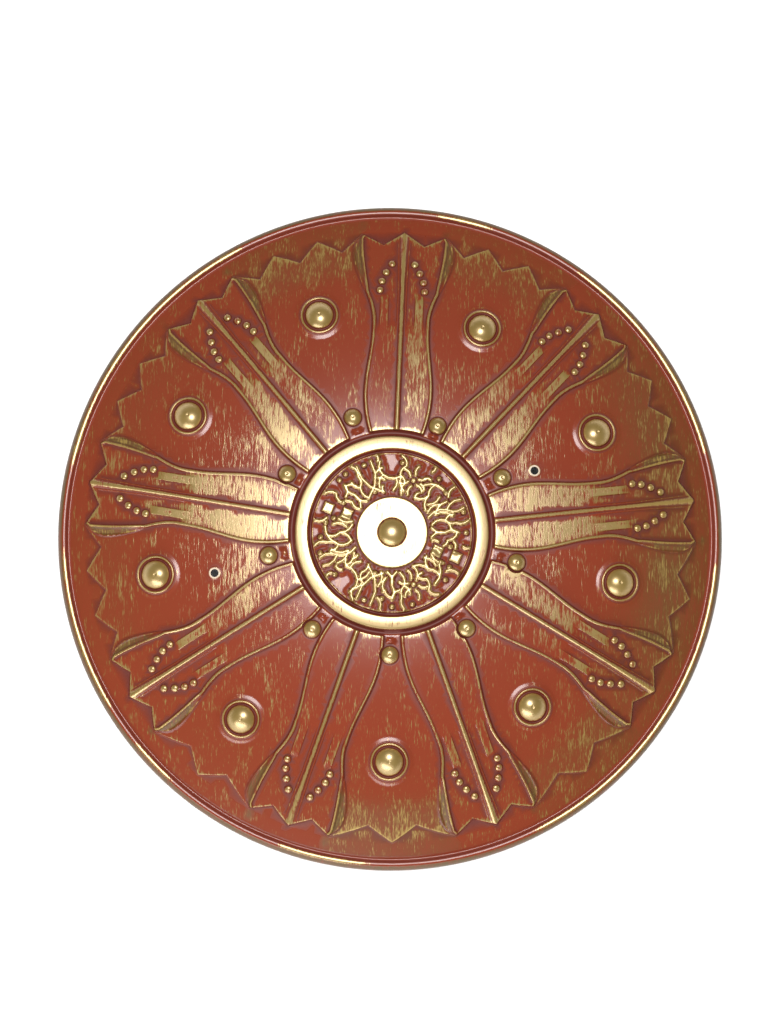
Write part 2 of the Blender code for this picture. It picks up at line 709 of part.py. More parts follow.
clear_scene()
parts = bpy.data.collections.new(NAME)
cutters = bpy.data.collections.new("cutters")
bpy.context.scene.collection.children.link(parts)
bpy.context.scene.collection.children.link(cutters)
shield = make_shell(parts, painted_plastic())
punch_strap_holes(shield, cutters)
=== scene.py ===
# A round costume shield, vacuum formed from one sheet of glossy red plastic, with gold paint dragged over its
# relief in upright strokes. It lies face up. Metres; the face looks up and the top of the pattern is at +Y.
import math

import bpy
import numpy as np
from mathutils import Matrix, Vector
from mathutils.geometry import delaunay_2d_cdt


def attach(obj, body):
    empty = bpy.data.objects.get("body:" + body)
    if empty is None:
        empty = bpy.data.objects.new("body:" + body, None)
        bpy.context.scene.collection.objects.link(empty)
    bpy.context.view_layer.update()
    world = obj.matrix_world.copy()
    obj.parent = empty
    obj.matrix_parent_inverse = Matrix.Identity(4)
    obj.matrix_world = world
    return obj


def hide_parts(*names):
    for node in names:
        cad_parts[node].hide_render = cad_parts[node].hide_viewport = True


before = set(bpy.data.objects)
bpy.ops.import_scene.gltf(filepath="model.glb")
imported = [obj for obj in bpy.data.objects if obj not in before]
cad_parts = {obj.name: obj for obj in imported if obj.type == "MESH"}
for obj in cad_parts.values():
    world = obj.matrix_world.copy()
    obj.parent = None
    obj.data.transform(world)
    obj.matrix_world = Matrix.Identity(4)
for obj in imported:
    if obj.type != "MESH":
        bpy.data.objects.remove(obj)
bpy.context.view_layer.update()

# The sheet
# One plastic sheet, 1.5 mm thick, pulled hot over a mould with a shallow dome. Every soft edge is the
# sheet's own: it can't follow a sharp corner. Heights of the relief are above the bare dome.
MM = 0.001
SHEET = 0.0015
RADIUS = 0.250
SKIRT_HEIGHT = 0.0070
BEAD_RISE = 0.0030
BEAD_CREST_RADIUS = 0.2451
BEAD_START_RADIUS = 0.2422
VALLEY_FROM = 0.2405
VALLEY_LIFT = 0.0005
DOME_RISE = 0.053
FIELD_RADIUS = 0.2412
FIELD_EDGE = SKIRT_HEIGHT + VALLEY_LIFT
SPHERE_RADIUS = (FIELD_RADIUS ** 2 + DOME_RISE ** 2) / (2 * DOME_RISE)
SPHERE_MIDDLE = FIELD_EDGE + DOME_RISE - SPHERE_RADIUS


def clamp(u):
    """Values held between nought and one."""
    return np.clip(u, 0.0, 1.0)


def ease(u):
    """A soft step from 0 to 1: three u squared less two u cubed."""
    u = clamp(u)
    return u * u * (3.0 - 2.0 * u)


def ridge(u):
    """A round ridge across -1 to 1: one less u squared, to the power 1.2."""
    return clamp(1.0 - u * u) ** 1.2


def round_knob(rho, radius, power=0.6):
    """A knob: one less the square of rho over its radius, to a power; the lower it is, the steeper the sides."""
    return clamp(1.0 - (rho / radius) ** 2) ** power


def eased_profile(rho, radii, heights):
    """A turned profile through given heights, with a soft step from each to the next."""
    radii = np.asarray(radii)
    heights = np.asarray(heights)
    k = np.clip(np.searchsorted(radii, rho) - 1, 0, len(radii) - 2)
    return heights[k] + (heights[k + 1] - heights[k]) * ease((rho - radii[k]) / (radii[k + 1] - radii[k]))


def bare_dome(x, y):
    """The dome: the sphere's middle plus the root of its radius squared less x squared less y squared."""
    return SPHERE_MIDDLE + np.sqrt(SPHERE_RADIUS ** 2 - x * x - y * y)


def turned(degrees, along, across):
    """Points given along and across directions in degrees, as x and y in the last axis."""
    a = np.radians(degrees)
    return np.stack([along * np.cos(a) - across * np.sin(a), along * np.sin(a) + across * np.cos(a)], axis=-1)


# The plan drawing
# The pattern of the mould is laid out flat as lines, closest where the relief bends most, and joined to
# triangles. These two lists hold the points and the lines between them.
drawn_points = []
drawn_lines = []


def lay(points, closed=False):
    """Lay one line through points, or several at once where the array has a row for each line."""
    rows = points.reshape(-1, points.shape[-2], 2)
    start = sum(len(p) for p in drawn_points)
    count = rows.shape[1]
    for number in range(len(rows)):
        first = start + number * count + np.arange(count)
        after = np.roll(first, -1)
        pairs = np.stack([first, after], axis=1)
        drawn_lines.append(pairs if closed else pairs[:-1])
    drawn_points.append(rows.reshape(-1, 2))


def lay_rings(middle, radii, spacing, sides=None):
    """Lay rings round a point, every second one turned by half a side."""
    for number, radius in enumerate(radii):
        count = sides or max(12, int(2 * math.pi * radius / spacing))
        a = 2 * math.pi * (np.arange(count) + 0.5 * (number % 2)) / count
        lay(np.stack([middle[0] + radius * np.cos(a), middle[1] + radius * np.sin(a)], axis=-1), closed=True)


# The plate with its toothed edge
# The pattern stands on a plate 1.2 mm above the plain outer band. The plate's edge is cut to a zigzag by eye: a
# tooth at each corner of a ray, and one or two between the rays.
RAYS = np.array([6.8, 46.9, 87.4, 129.3, 169.9, 211.7, 250.4, 290.1, 329.5])
GAPS = (np.roll(RAYS, -1) - RAYS) % 360.0
GAP_MIDDLES = RAYS + GAPS / 2
RAY_TIP_ANGLE = 8.0
PLAIN_BAND = 0.0130
TIP_RADIUS = FIELD_RADIUS - PLAIN_BAND
TOOTH_DEPTH_ON_RAYS = 0.0095
TOOTH_DEPTH_BETWEEN = 0.0125
TOOTH_FLANK = 0.0017
TEETH_BETWEEN = np.array([2, 2, 2, 2, 2, 1, 1, 1, 1])
PLATE_RISE = 0.0012


def by_ray(x, y):
    """Places seen from the nearest ray: its number, the turn from it in degrees, and how far along and across."""
    theta = np.degrees(np.arctan2(y, x))
    turns = (theta - RAYS[:, None] + 180.0) % 360.0 - 180.0
    ray = np.argmin(np.abs(turns), axis=0)
    off = np.take_along_axis(turns, ray[None], axis=0)[0]
    r = np.hypot(x, y)
    return ray, off, r * np.cos(np.radians(off)), r * np.sin(np.radians(off))


def valley_share(teeth):
    """How far through a tooth's room its end valley lies: half way, or 0.6 beside a tooth that stands alone."""
    return np.where(teeth == 1, 0.6, 0.5)


def tooth_edge(ray, off):
    """The plate's radius in a direction: the tips' radius less a depth that goes from 0 to full and back."""
    gap = np.where(off > 0, GAPS[ray], GAPS[ray - 1])
    teeth = np.where(off > 0, TEETH_BETWEEN[ray], TEETH_BETWEEN[ray - 1])
    pitch = (gap - 2.0 * RAY_TIP_ANGLE) / (teeth + 1)
    beyond = np.abs(off) > RAY_TIP_ANGLE
    tooth = np.where(beyond, (np.abs(off) - RAY_TIP_ANGLE) / pitch, np.abs(off) / RAY_TIP_ANGLE) % 1.0
    share = np.where(beyond, valley_share(teeth), 0.5)
    depth = np.where(beyond, TOOTH_DEPTH_BETWEEN, TOOTH_DEPTH_ON_RAYS)
    return TIP_RADIUS - depth * np.minimum(tooth / share, (1.0 - tooth) / (1.0 - share))


def lay_teeth(outward, per_side):
    """Lay the zigzag at given distances outward of the plate's edge, with points at its corners and between."""
    corners = []
    for start, gap, teeth in zip(RAYS, GAPS, TEETH_BETWEEN):
        pitch = (gap - 2 * RAY_TIP_ANGLE) / (teeth + 1)
        share = valley_share(teeth)
        corners += [start, start + RAY_TIP_ANGLE / 2]
        for k in range(teeth + 1):
            valley = share if k == 0 else 1 - share
            corners += [start + RAY_TIP_ANGLE + pitch * k, start + RAY_TIP_ANGLE + pitch * (k + valley)]
        corners += [start + gap - RAY_TIP_ANGLE, start + gap - RAY_TIP_ANGLE / 2]
    corners.append(RAYS[0] + 360.0)
    places = np.arange((len(corners) - 1) * per_side) / per_side
    degrees = np.interp(places, np.arange(len(corners)), corners)
    ray, off, _, _ = by_ray(np.cos(np.radians(degrees)), np.sin(np.radians(degrees)))
    radii = tooth_edge(ray, off) + np.asarray(outward)[:, None]
    lay(turned(degrees, radii, 0.0), closed=True)


# The rays
# Nine flat rays run from the ring to the teeth, narrow at the waist and bulging behind their tips. Each has a
# rolled edge that opens to a sloping leaf at each corner, a round midrib, and a sunk panel with a tongue in it.
RING_OUTER = 0.0722
MEDALLION_RADIUS = 0.0752
RAY_RISE = 0.0024
RAY_FLANK = 0.0020
RAY_HALF_WIDTH_AT_RING = 0.0205
RAY_SWELL_HALF_WIDTH = 0.0262
RAY_WAIST_HALF_WIDTH = 0.0222
RAY_BULGE = 0.0064
RAY_BULGE_LENGTH = 0.0130
TIP_ALONG = TIP_RADIUS * math.cos(math.radians(RAY_TIP_ANGLE))
TIP_ACROSS = TIP_RADIUS * math.sin(math.radians(RAY_TIP_ANGLE))
RAY_START = math.sqrt(MEDALLION_RADIUS ** 2 - RAY_HALF_WIDTH_AT_RING ** 2)
SWELL_AT = RAY_START + 0.0325
WAIST_FROM = TIP_ALONG - 0.0760
WAIST_TO = TIP_ALONG - 0.0680
BULGE_AT = TIP_ALONG - RAY_BULGE_LENGTH
ROLL_RISE = 0.0008
ROLL_HALF_WIDTH = 0.0015
MIDRIB_HALF_WIDTH = 0.0022
MIDRIB_HALF_WIDTH_AT_TIP = 0.0035
MIDRIB_RISE = 0.0026
LEAF_LENGTH = 0.041
LEAF_SPREAD = 0.0054
PANEL_START = 0.148
PANEL_BORDER = 0.0032
PANEL_RAMP = 0.014
PANEL_DEPTH = 0.0010
PANEL_FLANK = 0.0010
TONGUE_MIDDLE = 0.0130
TONGUE_HALF_WIDTH = 0.0036
TONGUE_END = 0.181
TONGUE_RAMP = 0.007
LEAF_LIP_HALF_WIDTH = 0.0008
LEAF_LIP_RISE = 0.8 * ROLL_RISE
PANEL_TO_LEAF = 0.0004
PANEL_TO_MIDRIB = 0.0008


def ray_half_width(along):
    """Half a ray's width: soft steps from ring to swell, waist and bulge, less a square to the tip."""
    width = RAY_HALF_WIDTH_AT_RING
    width = width + (RAY_SWELL_HALF_WIDTH - RAY_HALF_WIDTH_AT_RING) * (1 - clamp(
        (SWELL_AT - along) / (SWELL_AT - RAY_START)) ** 2)
    width = width + (RAY_WAIST_HALF_WIDTH - RAY_SWELL_HALF_WIDTH) * ease((along - SWELL_AT) / (WAIST_FROM - SWELL_AT))
    width = width + (TIP_ACROSS + RAY_BULGE - RAY_WAIST_HALF_WIDTH) * ease((along - WAIST_TO) / (BULGE_AT - WAIST_TO))
    return width - RAY_BULGE * clamp((along - BULGE_AT) / RAY_BULGE_LENGTH) ** 2


def crest_half_width(along):
    """How far out the crest of the edge lies: a flank in from the edge, or the inner line of the leaf if less."""
    leaf_line = TIP_ACROSS - LEAF_SPREAD * clamp((TIP_ALONG - along) / LEAF_LENGTH) ** 1.6
    return np.minimum(ray_half_width(along) - RAY_FLANK, leaf_line)


def midrib_half_width(along):
    """Half a midrib's width, which grows beside the leaves."""
    spread = clamp((along - TIP_RADIUS + LEAF_LENGTH) / LEAF_LENGTH)
    return MIDRIB_HALF_WIDTH + (MIDRIB_HALF_WIDTH_AT_TIP - MIDRIB_HALF_WIDTH) * spread


def panel_half_width(along):
    """How far out the sunk panel reaches: a border in from the edge, or just inside the leaf's inner line."""
    return np.minimum(ray_half_width(along) - PANEL_BORDER, crest_half_width(along) - PANEL_TO_LEAF)


def ray_relief(along, across):
    """A ray: a step up from edge to crest, a small roll on the crest, the midrib, less the panel but its tongue."""
    side = np.abs(across)
    width = ray_half_width(along)
    crest = crest_half_width(along)
    slope = clamp((width - side) / (width - crest))
    leafy = clamp((width - crest - RAY_FLANK) / RAY_FLANK)
    height = RAY_RISE * ((1 - leafy) * ease(slope) + leafy * slope)
    height = height + ROLL_RISE * ridge((side - crest) / ROLL_HALF_WIDTH)
    height = height + LEAF_LIP_RISE * leafy * ridge((width - LEAF_LIP_HALF_WIDTH - side) / LEAF_LIP_HALF_WIDTH)
    rib = midrib_half_width(along)
    height = height + MIDRIB_RISE * ridge(side / rib)
    panel = ease((panel_half_width(along) - side) / PANEL_FLANK)
    panel = panel * ease((side - rib - PANEL_TO_MIDRIB) / PANEL_FLANK)
    tongue = ease((TONGUE_HALF_WIDTH - np.abs(side - TONGUE_MIDDLE)) / PANEL_FLANK)
    tongue = tongue * ease((TONGUE_END - along) / TONGUE_RAMP)
    return height - PANEL_DEPTH * panel * (1 - tongue) * ease((along - PANEL_START) / PANEL_RAMP)


def lay_rays(crest_shares, rib_shares, panel_shares, spacing):
    """Lay lines along every ray: from its edge over its crest, over its midrib, and at the steps of its panel."""
    under_ring = 0.002
    short_of_tip = 0.006
    across_panel = np.linspace(0.0030, 0.0190, 9)
    steps = int((TIP_ALONG - RAY_START) / spacing)
    along = np.linspace(RAY_START - under_ring, TIP_ALONG, steps)
    rib = np.linspace(RING_OUTER, TIP_RADIUS + TOOTH_FLANK, steps)
    panel = np.linspace(PANEL_START, TIP_ALONG - short_of_tip, int((TIP_ALONG - PANEL_START) / spacing))
    tongue = np.linspace(PANEL_START, TONGUE_END, int((TONGUE_END - PANEL_START) / spacing) + 2)
    for angle in RAYS:
        for share in rib_shares:
            lay(turned(angle, rib, share * midrib_half_width(rib)))
        for side in (-1, 1):
            flank = ray_half_width(along) - crest_half_width(along)
            for share in crest_shares:
                inward = share * flank if share <= 1 else flank + (share - 1) * RAY_FLANK
                lay(turned(angle, along, side * (ray_half_width(along) - inward)))
            for share in panel_shares:
                reach = share * PANEL_FLANK
                lay(turned(angle, panel, side * (panel_half_width(panel) - reach)))
                lay(turned(angle, panel, side * (midrib_half_width(panel) + PANEL_TO_MIDRIB + reach)))
                lay(turned(angle, tongue, side * (TONGUE_MIDDLE - TONGUE_HALF_WIDTH + reach)))
                lay(turned(angle, tongue, side * (TONGUE_MIDDLE + TONGUE_HALF_WIDTH - reach)))
                start = PANEL_START + share * PANEL_RAMP
                lay(turned(angle, np.full(len(across_panel), start), side * across_panel))


# The pearls
# Four pearls in a bowed row on each half of a ray, pressed with the sheet like the rest.
PEARL_COUNT = 4
PEARL_RADIUS = 0.0031
PEARL_RISE = 0.0025
PEARLS_FROM_TIP = 0.0245
PEARL_ROW_LENGTH = 0.0210
PEARLS_FROM_MIDRIB = 0.0085
PEARL_ROW_BOW = 0.0082
pearl_share = np.arange(PEARL_COUNT) / (PEARL_COUNT - 1)
PEARLS_ALONG = TIP_RADIUS - PEARLS_FROM_TIP - PEARL_ROW_LENGTH * pearl_share
PEARLS_ACROSS = PEARLS_FROM_MIDRIB + PEARL_ROW_BOW * np.sin(pearl_share * math.pi / 2)


def pearl_relief(along, across):
    """The pearls of the nearest ray, each a round knob."""
    height = np.zeros_like(along)
    for out, aside in zip(PEARLS_ALONG, PEARLS_ACROSS):
        rho = np.hypot(along - out, np.abs(across) - aside)
        height = np.maximum(height, PEARL_RISE * round_knob(rho, PEARL_RADIUS))
    return height


# The bosses and studs
# Between the rays stand nine bosses, each a dome in a moat with a raised collar and a soft skirt round it.
# Nearer the ring each gap has a small stud, with a short block behind it. All were set by eye on the mould, a
# degree or so off the middle of the gap.
BOSS_ANGLES = GAP_MIDDLES + [-0.4, -0.9, -0.2, 0.1, -1.1, -0.2, -0.8, -0.6, 0.0]
BOSSES_FROM_TEETH = np.array([57.3, 60.1, 55.9, 53.1, 50.7, 51.6, 59.7, 63.0, 54.6]) * MM
BOSS_MIDDLES = turned(BOSS_ANGLES, TIP_RADIUS - BOSSES_FROM_TEETH, 0.0)
BOSS_RADIUS = 0.0109
BOSS_RISE = 0.0070
BOSS_ROUNDNESS = 0.85
BOSS_PROFILE_RADII = (0.0, 0.0109, 0.0114, 0.0132, 0.0150, 0.0192)
BOSS_PROFILE_HEIGHTS = (0.0008, 0.0008, 0.0008, 0.0028, 0.0010, 0.0)
VENT_MARK_RADIUS = 0.0008
VENT_MARK_DEPTH = 0.0003
STUD_ANGLES = GAP_MIDDLES + [-0.2, -0.3, 0.3, 1.0, -0.4, -0.6, -1.2, -1.7, -1.4]
STUDS_FROM_RING = np.array([19.0, 13.8, 18.0, 16.4, 20.0, 19.8, 17.8, 17.1, 22.4]) * MM
STUD_DISTANCES = RING_OUTER + STUDS_FROM_RING
STUD_MIDDLES = turned(STUD_ANGLES, STUD_DISTANCES, 0.0)
STUD_RADIUS = 0.0068
STUD_RISE = 0.0048
STUD_ROUNDNESS = 0.75
STUD_MOAT_WIDTH = 0.0014
BLOCK_DISTANCES = (MEDALLION_RADIUS + STUD_DISTANCES - STUD_RADIUS) / 2
BLOCK_HALF_LENGTH = 0.0026
BLOCK_HALF_WIDTH = 0.0036
BLOCK_RISE = 0.0017


def gap_relief(x, y, outside):
    """What stands between the rays: bosses on their turned profile, studs in a clear moat, and the blocks."""
    for px, py in BOSS_MIDDLES:
        rho = np.hypot(x - px, y - py)
        near = rho < BOSS_PROFILE_RADII[-1]
        outside[near] += eased_profile(rho[near], BOSS_PROFILE_RADII, BOSS_PROFILE_HEIGHTS)
        outside[near] += BOSS_RISE * round_knob(rho[near], BOSS_RADIUS, BOSS_ROUNDNESS)
        outside[near] -= VENT_MARK_DEPTH * round_knob(rho[near], VENT_MARK_RADIUS)
    for (px, py), angle, block in zip(STUD_MIDDLES, np.radians(STUD_ANGLES), BLOCK_DISTANCES):
        rho = np.hypot(x - px, y - py)
        near = rho < STUD_RADIUS + STUD_MOAT_WIDTH
        clear = ease((rho[near] - STUD_RADIUS) / STUD_MOAT_WIDTH)
        outside[near] = PLATE_RISE + (outside[near] - PLATE_RISE) * clear
        outside[near] += STUD_RISE * round_knob(rho[near], STUD_RADIUS, STUD_ROUNDNESS)
        outside[near] -= VENT_MARK_DEPTH * round_knob(rho[near], VENT_MARK_RADIUS)
        along = x * math.cos(angle) + y * math.sin(angle) - block
        across = y * math.cos(angle) - x * math.sin(angle)
        outside = outside + BLOCK_RISE * ridge(along / BLOCK_HALF_LENGTH) * ridge(across / BLOCK_HALF_WIDTH)
    return outside


# The medallion
# A round field inside a heavy ring: a flat disc with a boss at its middle, and round the disc a frieze of
# small signs. The signs are plain ones of this drawing: strokes, forks, suns, tablets and dots.
CENTRE_BOSS_RADIUS = 0.0101
CENTRE_BOSS_RISE = 0.0062
CENTRE_MOAT_WIDTH = 0.0012
CENTRE_MOAT_DEPTH = 0.0006
DISC_RADIUS = 0.0270
DISC_RISE = 0.0024
FRIEZE_RADIUS = 0.0598
FRIEZE_RISE = 0.0006
RING_INNER = 0.0600
RING_INNER_FLANK = 0.0028
RING_RISE = 0.0042
RING_CROWN = 0.0003
MEDALLION_RISE = 0.0010
MEDALLION_FLANK = 0.0016
GROOVE_MIDDLE = 0.0737
GROOVE_HALF_WIDTH = 0.0016
GROOVE_DEPTH = 0.0010
EDGE_LINE_HALF_WIDTH = 0.0008
EDGE_LINE_RISE = 0.0006
EDGE_LINE_INSET = 0.0012
STROKE_HALF_WIDTH = 0.0017
STROKE_RISE = 0.0022
STROKE_BOW = 0.16
STROKE_SKIRT = 0.0042
STROKE_SKIRT_RISE = 0.0011
SIGN_SCALE = 0.00111
DOT_RADIUS = 0.0023
DOT_RISE = STROKE_RISE * 1.2
TABLET_HALF_WIDTH = 0.0044
SIGN_STROKES = {
    "standing": ((-3, 2, 0, 11), (3, 2, 0, 11), (0, 11, 0, 20), (-5, 14, 0, 19), (0, 19, 5, 14)),
    "running": ((-5, 2, 0, 10), (5, 3, 0, 10), (0, 10, 2, 18), (-4, 20, 7, 13)),
    "tree": ((0, 2, 0, 15), (-5, 17, 0, 7), (0, 7, 5, 17), (0, 15, -3, 26), (0, 15, 3, 26)),
    "crossed": ((-5, 3, 5, 25), (5, 3, -5, 25)),
    "beast": ((-6, 13, 6, 14), (-6, 13, -8, 3), (-3, 12, -1, 4), (6, 14, 8, 5), (6, 14, 8, 23)),
    "sun": ((0, 17, 0, 23), (3, 15, 8, 18), (3, 11, 8, 8), (0, 9, 0, 3), (-3, 11, -8, 8), (-3, 15, -8, 18)),
    "tablets": (),
    "branch": ((0, 3, 1, 12), (1, 12, -2, 19), (1, 12, 4, 18), (-2, 19, -2, 27)),
    "hook": ((-1, 2, -2, 9), (-2, 9, 2, 14), (2, 14, -1, 21), (-1, 21, 3, 27)),
    "pair": ((-2, 3, -2, 12), (2, 6, 2, 15), (-1, 20, 2, 27)),
    "steps": ((0, 3, 0, 7), (-2, 11, 2, 13), (2, 17, -2, 19), (0, 24, 0, 28)),
}
SIGN_DOTS = {
    "standing": ((0, 25),),
    "running": ((3, 23),),
    "tree": (),
    "crossed": ((0, 5), (0, 24)),
    "beast": ((-7, 22),),
    "sun": ((0, 13),),
    "tablets": ((-6, 13), (6, 15)),
    "branch": ((4, 25),),
    "hook": (),
    "pair": ((2, 20),),
    "steps": (),
}
TABLETS = ((0, 8), (1, 21))
FRIEZE = ("standing", "branch", "tree", "pair", "running", "steps", "sun", "hook", "beast", "steps", "crossed",
          "branch", "standing", "hook", "tablets", "pair", "running", "branch", "tree", "steps", "beast", "hook",
          "crossed", "pair", "standing", "branch", "sun", "hook", "running", "pair", "tablets", "steps")


def frieze_marks():
    """The frieze: both ends of every piece of stroke, bowed as a parabola, then the dots, then the tablets."""
    bends = np.linspace(0.0, 1.0, 4)
    starts, ends, dots, tablets = [], [], [], []
    for number, sign in enumerate(FRIEZE):
        angle = 360.0 * number / len(FRIEZE)
        for side, (x0, y0, x1, y1) in enumerate(SIGN_STROKES[sign]):
            bow = 4.0 * STROKE_BOW * bends * (1.0 - bends) * (1 - 2 * (side % 2))
            x = x0 + (x1 - x0) * bends + (y1 - y0) * bow
            y = y0 + (y1 - y0) * bends - (x1 - x0) * bow
            bent = turned(angle, DISC_RADIUS + y * SIGN_SCALE, x * SIGN_SCALE)
            starts.append(bent[:-1])
            ends.append(bent[1:])
        dots += [turned(angle, DISC_RADIUS + y * SIGN_SCALE, x * SIGN_SCALE) for x, y in SIGN_DOTS[sign]]
        if sign == "tablets":
            tablets += [(angle, DISC_RADIUS + y * SIGN_SCALE, x * SIGN_SCALE) for x, y in TABLETS]
    return np.concatenate(starts), np.concatenate(ends), np.array(dots), tablets


stroke_starts, stroke_ends, dot_middles, tablet_places = frieze_marks()


def rounded_edge(inside):
    """A level rise with a round shoulder: the root-like power 0.6 of one less the square of what is left to go."""
    return STROKE_RISE * (1.0 - (1.0 - clamp(inside / STROKE_HALF_WIDTH)) ** 2) ** 0.6


def frieze_relief(x, y):
    """Strokes and tablets with round shoulders, dots as round knobs, the highest kept; a soft skirt by strokes."""
    height = np.zeros_like(x)
    skirt = np.zeros_like(x)
    for (x0, y0), (x1, y1) in zip(stroke_starts, stroke_ends):
        dx, dy = x1 - x0, y1 - y0
        u = clamp(((x - x0) * dx + (y - y0) * dy) / (dx * dx + dy * dy))
        inside = STROKE_HALF_WIDTH - np.hypot(x - x0 - u * dx, y - y0 - u * dy)
        height = np.maximum(height, rounded_edge(inside))
        skirt = np.maximum(skirt, ease(1.0 + inside / STROKE_SKIRT))
    for x0, y0 in dot_middles:
        height = np.maximum(height, DOT_RISE * round_knob(np.hypot(x - x0, y - y0), DOT_RADIUS))
    for degrees, out, aside in tablet_places:
        a = math.radians(degrees)
        along = x * math.cos(a) + y * math.sin(a) - out
        across = y * math.cos(a) - x * math.sin(a) - aside
        height = np.maximum(height, rounded_edge(TABLET_HALF_WIDTH - np.maximum(np.abs(along), np.abs(across))))
    return height + STROKE_SKIRT_RISE * skirt


def on_frieze(r):
    """Which places lie between a little inside the disc's edge and the frieze's outer edge."""
    return (r > DISC_RADIUS - 0.001) & (r < FRIEZE_RADIUS)


def medallion_relief(x, y):
    """Soft steps at the frieze's edge, the disc and the ring, the centre boss in its moat, and the signs."""
    r = np.hypot(x, y)
    height = FRIEZE_RISE * ease((FRIEZE_RADIUS - r) / MEDALLION_FLANK)
    height = height + DISC_RISE * ease((DISC_RADIUS - r) / MEDALLION_FLANK)
    height = height - CENTRE_MOAT_DEPTH * ease((CENTRE_BOSS_RADIUS + CENTRE_MOAT_WIDTH - r) / CENTRE_MOAT_WIDTH)
    height = height + CENTRE_BOSS_RISE * round_knob(r, CENTRE_BOSS_RADIUS)
    into_ring = np.minimum((r - RING_INNER) / RING_INNER_FLANK, (RING_OUTER - r) / MEDALLION_FLANK)
    height = height + RING_RISE * ease(into_ring)
    height = height + RING_CROWN * ease(np.minimum(r - RING_INNER, RING_OUTER - r) / (RING_OUTER - RING_INNER) * 2)
    height = height - GROOVE_DEPTH * ridge((r - GROOVE_MIDDLE) / GROOVE_HALF_WIDTH)
    height = height + EDGE_LINE_RISE * ridge((r - FRIEZE_RADIUS + EDGE_LINE_INSET) / EDGE_LINE_HALF_WIDTH)
    near = on_frieze(r)
    signs = np.zeros_like(r)
    signs[near] = frieze_relief(x[near], y[near])
    return height + signs


# The strap holes
# Two 6 mm holes are punched through the plate, square to the sheet. The punch leaves a low lip, coloured pale as a
# painted highlight.
HOLE_RADIUS = 0.0030
LIP_RISE = 0.0005
LIP_RADIUS = 0.0044
LIP_FLANK = 0.0008
HOLE_DEGREES_AND_DISTANCES = ((23.8, 0.1155), (192.6, 0.1340))
HOLE_MIDDLES = np.array([turned(degrees, distance, 0.0) for degrees, distance in HOLE_DEGREES_AND_DISTANCES])
HOLE_SIDES = 40


def relief(x, y):
    """All that stands above the bare dome: the medallion inside, the plate and what it carries outside."""
    r = np.hypot(x, y)
    ray, off, along, across = by_ray(x, y)
    plate = ease(1.0 - (r - tooth_edge(ray, off)) / TOOTH_FLANK)
    outside = gap_relief(x, y, PLATE_RISE + ray_relief(along, across) + pearl_relief(along, across))
    for hole in HOLE_MIDDLES:
        rho = np.hypot(x - hole[0], y - hole[1])
        outside = outside + LIP_RISE * ease((LIP_RADIUS + LIP_FLANK - rho) / LIP_FLANK)
    beyond = ease((r - MEDALLION_RADIUS) / MEDALLION_FLANK)
    inside = np.full_like(r, MEDALLION_RISE)
    near = r < MEDALLION_RADIUS + MEDALLION_FLANK
    inside[near] += medallion_relief(x[near], y[near])
    return plate * (inside * (1.0 - beyond) + outside * beyond)


def face_height(x, y):
    """The face: the bare dome plus the relief."""
    return bare_dome(x, y) + relief(x, y)


def back_height(x, y):
    """The back, one sheet below: the lowest of the face round a place, less what a ball of that radius leaves."""
    lowest = face_height(x, y) - SHEET
    for share, count in ((0.6, 6), (0.95, 10)):
        for a in 2 * math.pi * np.arange(count) / count:
            face = face_height(x + share * SHEET * math.cos(a), y + share * SHEET * math.sin(a))
            lowest = np.minimum(lowest, face - SHEET * math.sqrt(1.0 - share ** 2))
    return lowest


# The rim
# The field runs down into a narrow valley, then a bead stiffens the edge: it rises steeply and rounds over to
# the trimmed edge that the shield lies on. It is one turned profile, softened as the sheet softens it.
RIM_START = 0.2392
FIELD_END_RADII = (RIM_START, 0.2395, 0.2399)
VALLEY_FLOOR = 0.0003
BACK_FOOT_DROP = 1.3
RIM_SIDES = 300
RIM_SPACING = 0.0008
SOFTENING = 0.0011


def softened(points, spacing, reach):
    """A profile walked at even steps, each point the mean of those within reach, with both ends held."""
    steps = 400
    points = np.asarray(points)
    length = np.concatenate([[0.0], np.cumsum(np.hypot(*np.diff(points, axis=0).T))])
    fine = np.linspace(0.0, length[-1], steps)
    walked = np.stack([np.interp(fine, length, points[:, k]) for k in range(2)], axis=1)
    half = max(1, int(reach / length[-1] * steps))
    padded = np.pad(walked, ((half, half), (0, 0)), mode="edge")
    padded[:half] += (walked[0] - walked[1]) * np.arange(half, 0, -1)[:, None]
    padded[-half:] += (walked[-1] - walked[-2]) * np.arange(1, half + 1)[:, None]
    even = np.full(2 * half + 1, 1 / (2 * half + 1))
    mean = np.stack([np.convolve(padded[:, k], even, "valid") for k in range(2)], axis=1)
    picks = np.linspace(0, steps - 1, max(2, int(length[-1] / spacing))).round().astype(int)
    return mean[picks]


def rim_profile(inset, spacing):
    """Radius and height from the field to the trimmed edge: dome, valley, a quarter ellipse up, another down."""
    sphere = SPHERE_RADIUS - inset
    field = [(r, SPHERE_MIDDLE + math.sqrt(sphere ** 2 - r * r)) for r in FIELD_END_RADII]
    rise = BEAD_CREST_RADIUS - BEAD_START_RADIUS - inset
    fall = RADIUS - BEAD_CREST_RADIUS - inset
    foot = SKIRT_HEIGHT - BACK_FOOT_DROP * inset
    top = SKIRT_HEIGHT + BEAD_RISE - inset
    quarter = np.radians(np.linspace(0, 90, 12))
    up = [(BEAD_CREST_RADIUS - rise * math.cos(a), foot + (top - foot) * math.sin(a)) for a in quarter]
    down = [(BEAD_CREST_RADIUS + fall * math.sin(a), top * math.cos(a)) for a in quarter]
    valley = [(VALLEY_FROM, foot + VALLEY_FLOOR)]
    return softened(field + valley + up + down[1:], spacing, SOFTENING)


